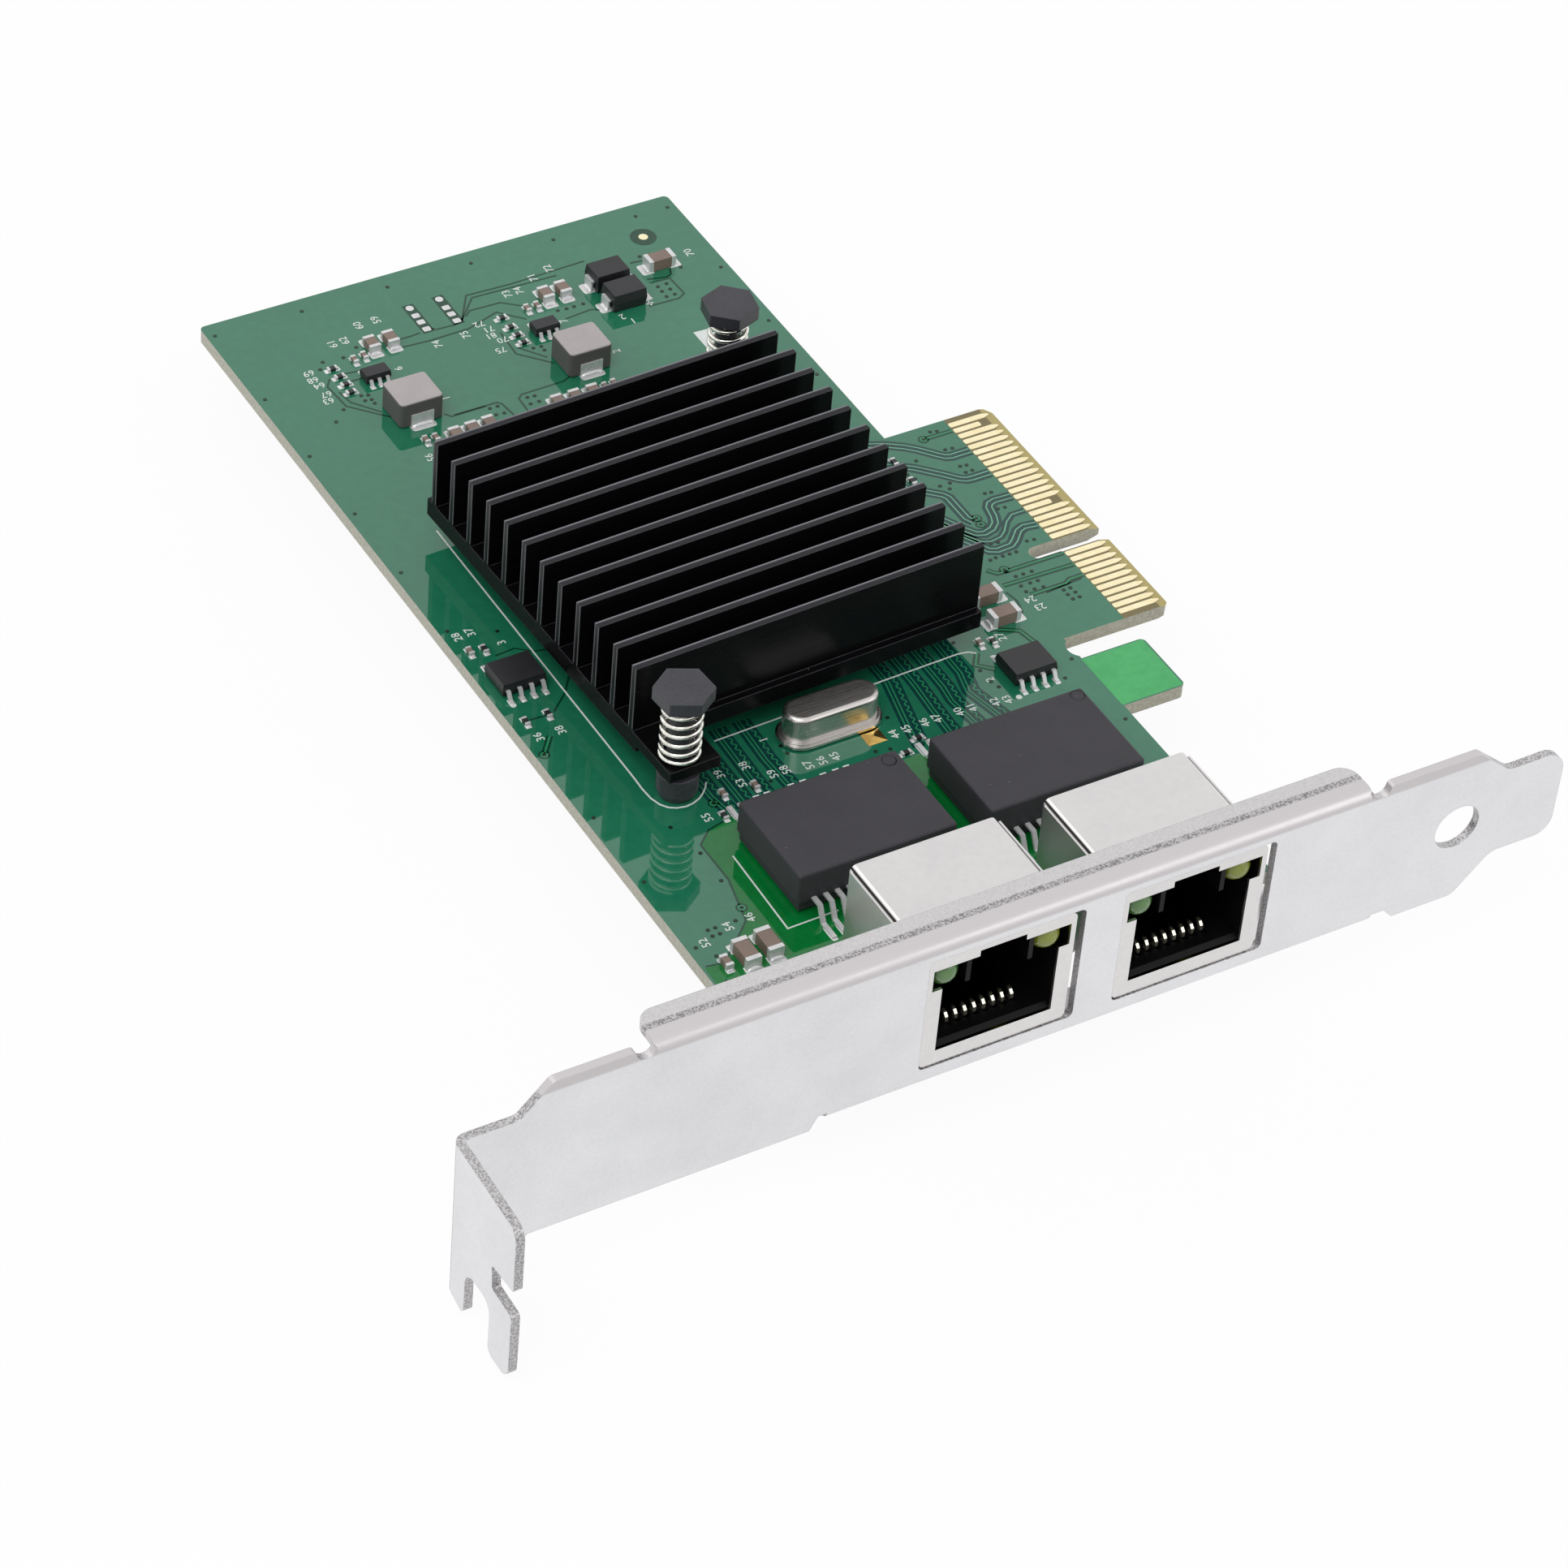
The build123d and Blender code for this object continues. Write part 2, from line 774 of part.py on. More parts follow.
def lamps(places):
    """Round domed lamps lying along Y, facing out of the ports."""
    with BuildPart() as group:
        for x in places:
            with BuildSketch(Plane.YZ.offset(x)):
                with BuildLine():
                    Polyline(
                        (lamp_front + lamp_radius, lamp_z + lamp_radius),
                        (lamp_back, lamp_z + lamp_radius),
                        (lamp_back, lamp_z),
                        (lamp_front, lamp_z),
                    )
                    RadiusArc((lamp_front, lamp_z), (lamp_front + lamp_radius, lamp_z + lamp_radius), lamp_radius)
                make_face()
            revolve(axis=Axis((x, lamp_front, lamp_z), (0, 1, 0)))
    return group.part


save(lamps([x - lamp_x for x in port_x]), "green_status_lamps")
save(lamps([x + lamp_x for x in port_x]), "amber_status_lamps")

with BuildPart() as lamp_leads:
    for x in port_x:
        for s in (-1, 1):
            for step in (-0.6, 0.6):
                with BuildSketch(Plane.YZ.offset(x + s * lamp_x + step - wire / 2)):
                    outline(
                        [
                            (lamp_back, lamp_z - wire / 2),
                            (lamp_back, lamp_z + wire / 2),
                            (lamp_lead_y + wire / 2, lamp_z + wire / 2),
                            (lamp_lead_y + wire / 2, -board_thickness - tail_length),
                            (lamp_lead_y - wire / 2, -board_thickness - tail_length),
                            (lamp_lead_y - wire / 2, lamp_z - wire / 2),
                        ]
                    )
                extrude(amount=wire)
save(lamp_leads.part, "status_lamp_leads")


# Heatsink, chip and its push pins

base_top = sink_bottom + base_height

with BuildPart() as heatsink:
    with BuildSketch(Plane.XY.offset(sink_bottom)):
        with Locations(sink_frame):
            Rectangle(sink_width, sink_depth)
    extrude(amount=base_height)
    with BuildSketch(Plane.XY.offset(base_top - ear_sink_height)):
        with Locations(sink_frame):
            for s in (-1, 1):
                ear_length = ear_sink_reach - sink_depth / 2 + 1
                ear_x = (sink_width - ear_sink_width) / 2
                with Locations((s * ear_x, s * (ear_sink_reach - ear_length / 2))):
                    Rectangle(ear_sink_width, ear_length)
    extrude(amount=ear_sink_height)
    with BuildSketch(Plane.XY.offset(base_top)):
        with Locations(sink_frame):
            with GridLocations(0, fin_pitch, 1, fin_count):
                Rectangle(sink_width, fin_thickness)
    extrude(amount=fin_height)
    with BuildSketch(Plane.XY.offset(sink_bottom)):
        for place in pin_places:
            with Locations((place.position.X, place.position.Y)):
                Circle(pin_shaft_radius + hole_clearance)
    extrude(amount=base_height, mode=Mode.SUBTRACT)
save(heatsink.part, "heatsink")

with BuildPart() as controller_chip:
    with BuildSketch(Plane.XY):
        with Locations((sink_x, sink_y)):
            Rectangle(chip_size, chip_size)
    extrude(amount=chip_height * 0.5)
    with BuildSketch(Plane.XY.offset(chip_height * 0.5)):
        with Locations((sink_x, sink_y)):
            Rectangle(chip_size - 1.6, chip_size - 1.6)
    extrude(amount=chip_height * 0.5)
save(controller_chip.part, "controller_chip")

with BuildPart() as thermal_pad:
    with BuildSketch(Plane.XY.offset(chip_height)):
        with Locations((sink_x, sink_y)):
            Rectangle(pad_size, pad_size)
    extrude(amount=sink_bottom - chip_height)
save(thermal_pad.part, "thermal_pad")

collar_top = base_top - ear_sink_height
with BuildPart() as push_pins:
    for place, head_turn in zip(pin_places, pin_head_turns):
        x = place.position.X
        y = place.position.Y
        with BuildSketch(Plane.XY.offset(pin_head_bottom)):
            with Locations((x, y)):
                RegularPolygon(pin_head_radius, 6, rotation=head_turn)
        extrude(amount=pin_head_height)
        with BuildSketch(Plane.XZ.offset(-y)):
            outline(
                [
                    (x, pin_head_bottom),
                    (x + pin_shaft_radius, pin_head_bottom),
                    (x + pin_shaft_radius, collar_top - 0.3),
                    (x + 2.1, collar_top - 0.6),
                    (x + 2.1, 0.9),
                    (x + 1.75, 0),
                    (x + pin_shaft_radius, 0),
                    (x + pin_shaft_radius, -board_thickness),
                    (x + 1.75, -board_thickness - 0.1),
                    (x + 0.9, -board_thickness - 2.3),
                    (x, -board_thickness - 2.3),
                ]
            )
        revolve(axis=Axis((x, y, 0), (0, 0, 1)))
        with BuildSketch(Plane.XY.offset(-board_thickness - 2.4)):
            with Locations((x, y)):
                Rectangle(0.6, 5.0)
        extrude(amount=board_thickness + 2.4, mode=Mode.SUBTRACT)
save(push_pins.part, "push_pins")

spring_base = base_top + spring_wire + 0.01
spring_height = pin_head_bottom - base_top - 2 * spring_wire - 0.02
with BuildPart() as spring:
    with BuildLine() as coil:
        Helix(spring_height / spring_turns, spring_height, spring_radius)
    with BuildSketch(Plane(coil.line @ 0, z_dir=coil.line % 0)):
        RegularPolygon(spring_wire, 6)
    sweep(is_frenet=True)
with BuildPart() as push_pin_springs:
    for place in pin_places:
        with Locations((place.position.X, place.position.Y, spring_base)):
            add(spring.part)
save(push_pin_springs.part, "push_pin_springs")


# Transformers

for side, x in zip(("left", "right"), coil_x):
    with BuildPart() as transformer:
        with BuildSketch(Plane.XY.offset(coil_split)):
            with Locations((x, coil_y)):
                RectangleRounded(coil_length, coil_width, coil_rounding)
        extrude(amount=coil_top - coil_split)
        fillet(transformer.edges().group_by(Axis.Z)[-1], coil_rounding)
        with BuildSketch(Plane.XY.offset(coil_foot)):
            with Locations((x, coil_y)):
                Rectangle(coil_length - 2 * coil_inset, coil_width - 2 * coil_inset)
        extrude(amount=coil_split - coil_foot)
        foot_x = coil_length / 2 - 4 * coil_inset
        with Locations((x - foot_x, coil_y, 0), (x + foot_x, coil_y, 0)):
            Box(4 * coil_inset, coil_width - 3, coil_foot, align=sit)
    save(transformer.part, side + "_transformer")
    coil_lead = bent_lead(coil_lead_reach, 1.9, 1.3, 0.25, 0.5)
    with BuildPart() as coil_leads:
        with Locations(*lead_rows((x, coil_y), coil_width / 2, coil_lead_count, coil_lead_pitch)):
            add(coil_lead)
    save(coil_leads.part, side + "_transformer_leads")


# Crystal

with BuildPart() as crystal_base:
    with BuildSketch(Plane.XY.offset(crystal_foot)):
        with Locations(crystal_place):
            SlotOverall(crystal_length, crystal_width)
    extrude(amount=crystal_base_top - crystal_foot)
save(crystal_base.part, "crystal_base")

with BuildPart() as crystal_can:
    for low, high, inset in (
        (crystal_base_top, crystal_flange_top, crystal_flange_inset),
        (crystal_flange_top, crystal_top, crystal_can_inset),
    ):
        with BuildSketch(Plane.XY.offset(low)):
            with Locations(crystal_place):
                SlotOverall(crystal_length - 2 * inset, crystal_width - 2 * inset)
        extrude(amount=high - low)
    fillet(crystal_can.edges().group_by(Axis.Z)[-1], crystal_rounding)
save(crystal_can.part, "crystal_can")

with BuildPart() as crystal_feet:
    for s in (-1, 1):
        with Locations((crystal_place[0] + s * crystal_foot_x, crystal_place[1], 0)):
            Box(crystal_foot_length, crystal_foot_width, crystal_foot, align=sit)
save(crystal_feet.part, "crystal_feet")


# Memory chips, regulators, inductors and diodes

memory_lead = bent_lead(1.05, 0.95, 0.3, 0.18, 0.42)
memory_body = chip_body(4.9, 3.9, 0.15, 1.6, 0.12)
with BuildPart() as memory_chips:
    with Locations(*memory_places):
        add(memory_body)
save(memory_chips.part, "memory_chips")
with BuildPart() as memory_chip_leads:
    for place in memory_places:
        with Locations(*lead_rows(place, 1.95, 4, 1.27)):
            add(memory_lead)
save(memory_chip_leads.part, "memory_chip_leads")

regulator_lead = bent_lead(0.6, 0.6, 0.15, 0.14, 0.38)
regulator_body = chip_body(2.9, 1.65, 0.1, 1.1, 0.08)
with BuildPart() as regulator_chips:
    with Locations(*regulator_places):
        add(regulator_body)
save(regulator_chips.part, "regulator_chips")
with BuildPart() as regulator_leads:
    for place in regulator_places:
        with Locations(*lead_rows(place, 0.825, 3, 0.95)):
            add(regulator_lead)
save(regulator_leads.part, "regulator_leads")

inductor_length = 5.0
inductor_width = 4.5
inductor_height = 3.0
clip = 0.15
with BuildPart() as inductor_bodies:
    with BuildSketch(Plane.XY.offset(clip)):
        with Locations(*inductor_places):
            RectangleRounded(inductor_length, inductor_width, 0.5)
    extrude(amount=inductor_height - clip)
    fillet(inductor_bodies.edges().group_by(Axis.Z)[-1], 0.25)
save(inductor_bodies.part, "inductor_bodies")
with BuildPart() as inductor_terminals:
    for place in inductor_places:
        for s in (-1, 1):
            edge_y = place[1] + s * inductor_width / 2
            with BuildSketch(Plane.YZ.offset(place[0] - 1.3)):
                outline(
                    [
                        (edge_y, clip),
                        (edge_y, 1.5),
                        (edge_y + s * clip, 1.5),
                        (edge_y + s * clip, 0),
                        (edge_y - s * 1.2, 0),
                        (edge_y - s * 1.2, clip),
                    ]
                )
            extrude(amount=2.6)
save(inductor_terminals.part, "inductor_terminals")

diode_length = 4.0
diode_width = 2.9
diode_body = chip_body(diode_length, diode_width, 0.1, 2.2, 0.12)
with BuildPart() as diode_bodies:
    with Locations(*diode_places):
        add(diode_body)
save(diode_bodies.part, "diode_bodies")
with BuildPart() as diode_terminals:
    for place in diode_places:
        for s in (-1, 1):
            edge_x = place[0] + s * diode_length / 2
            with BuildSketch(Plane.XZ.offset(-place[1] - 0.75)):
                outline(
                    [
                        (edge_x, 1.1),
                        (edge_x, 1.3),
                        (edge_x + s * 0.35, 1.3),
                        (edge_x + s * 0.35, 0),
                        (edge_x - s * 0.9, 0),
                        (edge_x - s * 0.9, 0.1),
                        (edge_x + s * 0.15, 0.1),
                        (edge_x + s * 0.15, 1.1),
                    ]
                )
            extrude(amount=1.5)
save(diode_terminals.part, "diode_terminals")


# Capacitors and resistors

lift = 0.03


def chip_parts(flat, deep, length, width, height, cap, body_name, cap_name):
    """Bodies and end caps of one size of capacitor or resistor, lying along X or along Y."""
    places = [Location((x, y, 0)) for x, y in flat]
    places += [Location((x, y, 0), (0, 0, 90)) for x, y in deep]
    with BuildPart() as bodies:
        with Locations(*places):
            with Locations((0, 0, lift)):
                Box(length - 2 * cap, width - 2 * lift, height - 2 * lift, align=sit)
    with BuildPart() as caps:
        with Locations(*places):
            with Locations(((length - cap) / 2, 0, 0), ((cap - length) / 2, 0, 0)):
                Box(cap, width, height, align=sit)
    save(bodies.part, body_name)
    save(caps.part, cap_name)


chip_parts(
    large_capacitors_flat,
    large_capacitors_deep,
    3.2,
    1.6,
    1.4,
    0.5,
    "large_capacitors",
    "large_capacitor_caps",
)
chip_parts((), medium_capacitors, 2.0, 1.25, 1.0, 0.4, "medium_capacitors", "medium_capacitor_caps")
chip_parts((), [single_capacitor_place], 1.6, 0.8, 0.8, 0.35, "single_capacitor", "single_capacitor_caps")
chip_parts((), small_capacitors_deep, 1.1, 0.55, 0.5, 0.27, "small_capacitors", "small_capacitor_caps")
chip_parts(resistors_flat, resistors_deep, 1.1, 0.55, 0.38, 0.25, "resistors", "resistor_caps")
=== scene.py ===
"""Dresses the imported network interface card: finishes, printed board detail, solder and studio."""

from __future__ import annotations

import logging
import math
from dataclasses import dataclass, replace
from enum import Enum
from typing import Iterable, Sequence

import bpy
import numpy as np
from mathutils import Matrix, Vector


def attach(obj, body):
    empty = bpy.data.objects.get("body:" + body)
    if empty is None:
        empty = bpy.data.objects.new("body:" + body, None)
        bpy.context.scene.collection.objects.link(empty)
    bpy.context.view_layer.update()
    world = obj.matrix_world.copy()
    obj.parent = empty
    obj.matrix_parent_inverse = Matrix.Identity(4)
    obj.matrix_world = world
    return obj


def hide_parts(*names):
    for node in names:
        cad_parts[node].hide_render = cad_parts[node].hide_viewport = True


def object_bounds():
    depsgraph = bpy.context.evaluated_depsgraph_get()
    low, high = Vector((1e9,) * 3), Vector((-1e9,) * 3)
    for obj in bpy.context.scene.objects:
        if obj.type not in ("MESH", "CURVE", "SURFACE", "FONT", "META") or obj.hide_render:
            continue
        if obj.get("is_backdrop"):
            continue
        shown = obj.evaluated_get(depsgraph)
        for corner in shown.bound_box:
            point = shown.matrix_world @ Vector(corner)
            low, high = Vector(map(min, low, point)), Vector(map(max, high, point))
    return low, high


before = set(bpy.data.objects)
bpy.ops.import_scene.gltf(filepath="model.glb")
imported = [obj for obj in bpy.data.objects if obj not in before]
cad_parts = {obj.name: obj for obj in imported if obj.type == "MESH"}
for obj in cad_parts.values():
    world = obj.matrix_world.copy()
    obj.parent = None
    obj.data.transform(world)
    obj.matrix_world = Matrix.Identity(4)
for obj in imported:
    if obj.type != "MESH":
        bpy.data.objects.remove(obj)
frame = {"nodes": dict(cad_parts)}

LOG = logging.getLogger("card")
MM = 0.001
BOARD_UNDER = -1.57
MITRE_LEAST = 0.35
RIBBON_TOP = 0.94
NUMERAL_SHARE = 0.72
CROWN_ANGLE = 0.45 * math.pi
DRAW_SLOPE, DRAW_LEAST = 3.0, 0.25
SHARP_ANGLE = math.radians(38.0)
WHITE = (1.0, 1.0, 1.0, 1.0)
Point = tuple[float, float]
Colour = tuple[int, int, int]


# ---------------------------------------------------------------- meshes


@dataclass
class Shape:
    """A closed mesh as arrays, in millimetres: points (n, 3) and faces as lists of indices."""

    points: np.ndarray
    faces: list[list[int]]

    def placed(self, x: float, y: float, z: float = 0.0, turn: float = 0.0) -> "Shape":
        """The shape turned about Z by turn degrees, then moved.

        Args:
            x, y, z: where its origin goes, in millimetres.
            turn: degrees, anticlockwise from above.

        Returns:
            A new shape.
        """
        c, s = math.cos(math.radians(turn)), math.sin(math.radians(turn))
        spin = np.array([[c, s, 0.0], [-s, c, 0.0], [0.0, 0.0, 1.0]])
        return Shape(self.points @ spin + np.array([x, y, z]), self.faces)

    def volume(self) -> float:
        """Signed volume: the sum of the tetrahedra from the origin to each face's fan.

        Returns:
            Cubic millimetres, negative where the faces point inwards.
        """
        total = 0.0
        fans = [(f[0], f[i], f[i + 1]) for f in self.faces for i in range(1, len(f) - 1)]
        if fans:
            tri = self.points[np.array(fans)]
            total = float(np.einsum("ij,ij->i", tri[:, 0], np.cross(tri[:, 1], tri[:, 2])).sum())
        return total / 6.0

    def outward(self) -> "Shape":
        """The same shape with its faces pointing outwards.

        Returns:
            This shape, or a copy with every face turned over.
        """
        if self.volume() < 0.0:
            return Shape(self.points, [f[::-1] for f in self.faces])
        return self


def ring_faces(rings: int, around: int) -> list[list[int]]:
    """Faces of a closed skin of stacked rings, with a flat cap on the first and last ring.

    Args:
        rings: how many rings are stacked.
        around: how many points each ring has.

    Returns:
        The faces as lists of point numbers.
    """
    i, j = np.meshgrid(np.arange(rings - 1), np.arange(around), indexing="ij")
    a = i * around + j
    b = i * around + (j + 1) % around
    quads = np.stack([a, b, b + around, a + around], axis=-1).reshape(-1, 4)
    first = list(range(around))[::-1]
    last = list(range((rings - 1) * around, rings * around))
    return quads.tolist() + [first, last]


def ribbon(path: Sequence[Point], width: float, low: float, high: float) -> Shape:
    """A flat strip: a rectangle, width by (low to high), carried along a mitred path.

    Each path point moves out along the mean of its two runs' normals, by half the width over the
    cosine of half the turn, so the strip keeps its width round corners. The upper face is a little
    narrower.

    Args:
        path: the centre line, in millimetres.
        width: across the strip.
        low, high: heights of its under and upper face.

    Returns:
        The strip as a closed shape.
    """
    line = np.array(path, float)
    runs = np.diff(line, axis=0)
    runs /= np.linalg.norm(runs, axis=1)[:, None]
    side = np.stack([-runs[:, 1], runs[:, 0]], axis=1)
    before, after = np.vstack([side[:1], side]), np.vstack([side, side[-1:]])
    mid = before + after
    mid /= np.linalg.norm(mid, axis=1)[:, None]
    out = mid * (0.5 * width / np.clip((mid * after).sum(1), MITRE_LEAST, 1.0))[:, None]
    corners = np.zeros((len(line), 4, 3))
    for corner, (reach, height) in enumerate(((1.0, low), (RIBBON_TOP, high), (-RIBBON_TOP, high), (-1.0, low))):
        corners[:, corner, :2], corners[:, corner, 2] = line + out * reach, height
    return Shape(corners.reshape(-1, 3), ring_faces(len(line), 4)).outward()


def slab(outline: Sequence[Point], low: float, high: float) -> Shape:
    """A flat field: its outline at the low height and again at the high one, with both capped.

    Args:
        outline: its corners in order, in millimetres.
        low, high: heights of its two faces.

    Returns:
        The field as a closed shape.
    """
    flat = np.array(outline, float)
    n = len(flat)
    points = np.zeros((2, n, 3))
    points[:, :, :2] = flat
    points[0, :, 2], points[1, :, 2] = low, high
    return Shape(points.reshape(-1, 3), ring_faces(2, n)).outward()


def turned(profile: Sequence[Point], around: int = 16) -> Shape:
    """A turned piece: each (radius, height) of the profile swept round Z, both ends capped.

    Args:
        profile: radius and height of each ring, in millimetres.
        around: points round each ring.

    Returns:
        The piece as a closed shape.
    """
    radius, height = np.array(profile, float).T
    angle = np.linspace(0.0, 2.0 * math.pi, around, endpoint=False)
    points = np.zeros((len(radius), around, 3))
    points[:, :, 0] = radius[:, None] * np.cos(angle)
    points[:, :, 1] = radius[:, None] * np.sin(angle)
    points[:, :, 2] = height[:, None]
    return Shape(points.reshape(-1, 3), ring_faces(len(radius), around)).outward()


def pillow(length: float, width: float, low: float, high: float, power: float = 5.0,
           rings: int = 5, around: int = 24) -> Shape:
    """A rounded pad: a superellipse outline that draws in as a quarter circle while it rises.

    x and y follow cosine and sine of the angle, each to the power 2/power with its sign kept, times
    half the length and width and the ring's size. An angle runs from 0 to nearly 90 degrees over the
    rings: the size is 1 less a share of (1 - its cosine), which is larger on a steeper pad, and the
    rise is its sine over the last ring's sine.

    Args:
        length, width: the pad's outer size, in millimetres.
        low, high: heights of its foot and its crown.
        power: 2 gives an ellipse, more gives squarer corners.
        rings, around: number of points each way.

    Returns:
        The pad as a closed shape.
    """
    angle = np.linspace(0.0, 2.0 * math.pi, around, endpoint=False)
    c, s = np.cos(angle), np.sin(angle)
    x = np.sign(c) * np.abs(c) ** (2.0 / power) * 0.5 * length
    y = np.sign(s) * np.abs(s) ** (2.0 / power) * 0.5 * width
    lift = np.linspace(0.0, CROWN_ANGLE, rings)
    edge = min(length, width) * 0.5
    drawn = 1.0 - (1.0 - np.cos(lift)) * min(1.0, DRAW_SLOPE * (high - low) / edge + DRAW_LEAST)
    points = np.zeros((rings, around, 3))
    points[:, :, 0] = x[None, :] * drawn[:, None]
    points[:, :, 1] = y[None, :] * drawn[:, None]
    points[:, :, 2] = (low + (high - low) * np.sin(lift) / math.sin(lift[-1]))[:, None]
    return Shape(points.reshape(-1, 3), ring_faces(rings, around)).outward()


def tube(centre: np.ndarray, radius: float, around: int = 10) -> Shape:
    """A round wire: a circle carried square to its centre line, with capped ends.

    The line's tangent is its central difference; the circle stands in the plane of the tangent's
    horizontal normal and their cross product.

    Args:
        centre: (n, 3) points of the line, in millimetres.
        radius: of the wire.
        around: points round the circle.

    Returns:
        The wire as a closed shape.
    """
    tangent = np.gradient(centre, axis=0)
    tangent /= np.linalg.norm(tangent, axis=1)[:, None]
    side = np.cross(tangent, np.array([0.0, 0.0, 1.0]))
    side /= np.linalg.norm(side, axis=1)[:, None]
    up = np.cross(side, tangent)
    angle = np.linspace(0.0, 2.0 * math.pi, around, endpoint=False)
    points = (centre[:, None, :] + radius * np.cos(angle)[None, :, None] * side[:, None, :]
              + radius * np.sin(angle)[None, :, None] * up[:, None, :])
    return Shape(points.reshape(-1, 3), ring_faces(len(centre), around)).outward()


def digits(text: str, height: float, low: float, high: float) -> Shape:
    """Plain printed numerals as a thin slab, their centre at the origin.

    Args:
        text: the numerals.
        height: of one numeral, in millimetres.
        low, high: heights of the slab's two faces.

    Returns:
        The numerals as one shape, from the built-in letter outlines.
    """
    curve = bpy.data.curves.new("numerals", "FONT")
    curve.body, curve.size, curve.resolution_u = text, 1.0, 2
    curve.extrude = 0.5
    curve.align_x, curve.align_y = "CENTER", "CENTER"
    holder = bpy.data.objects.new("numerals", curve)
    bpy.context.scene.collection.objects.link(holder)
    bpy.context.view_layer.update()
    mesh = bpy.data.meshes.new_from_object(holder)
    bpy.data.objects.remove(holder)
    bpy.data.curves.remove(curve)
    points = np.zeros(len(mesh.vertices) * 3)
    mesh.vertices.foreach_get("co", points)
    points = points.reshape(-1, 3)
    faces = [list(p.vertices) for p in mesh.polygons]
    bpy.data.meshes.remove(mesh)
    points[:, :2] *= height / NUMERAL_SHARE
    points[:, 2] = low + (points[:, 2] + 0.5) * (high - low)
    return Shape(points, faces)


class Skin(Enum):
    """How a piece's faces catch the light."""

    FLAT = "flat"
    SMOOTH = "smooth"


def make_piece(name: str, shapes: Iterable[Shape], finish: "Finish", skin: Skin = Skin.FLAT) -> bpy.types.Object:
    """Joins shapes into one object of the card, with its finish.

    Args:
        name: the piece's name.
        shapes: its closed shapes, in millimetres.
        finish: what it is dressed with.
        skin: flat or smooth faces.

    Returns:
        The object, which rides on the card's one body.
    """
    points: list[np.ndarray] = []
    faces: list[list[int]] = []
    start = 0
    for shape in shapes:
        points.append(shape.points)
        faces.extend([[i + start for i in face] for face in shape.faces])
        start += len(shape.points)
    mesh = bpy.data.meshes.new(name)
    mesh.from_pydata((np.vstack(points) * MM).tolist(), [], faces)
    if skin is Skin.SMOOTH:
        mesh.polygons.foreach_set("use_smooth", [True] * len(mesh.polygons))
        mesh.set_sharp_from_angle(angle=SHARP_ANGLE)
    mesh.update()
    piece = bpy.data.objects.new(name, mesh)
    bpy.context.scene.collection.objects.link(piece)
    piece.data.materials.append(finish.material())
    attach(piece, "root")
    LOG.info("%s: %d faces", name, len(mesh.polygons))
    return piece


# ---------------------------------------------------------------- shader tools


Socket = bpy.types.NodeSocket


def linear(colour: Colour) -> tuple[float, float, float, float]:
    """A screen colour, 0 to 255, as the linear values that a shader takes.

    Args:
        colour: red, green and blue, 0 to 255.

    Returns:
        Red, green, blue and 1.
    """
    c = np.array(colour, float) / 255.0
    lin = np.where(c <= 0.04045, c / 12.92, ((c + 0.055) / 1.055) ** 2.4)
    return (float(lin[0]), float(lin[1]), float(lin[2]), 1.0)


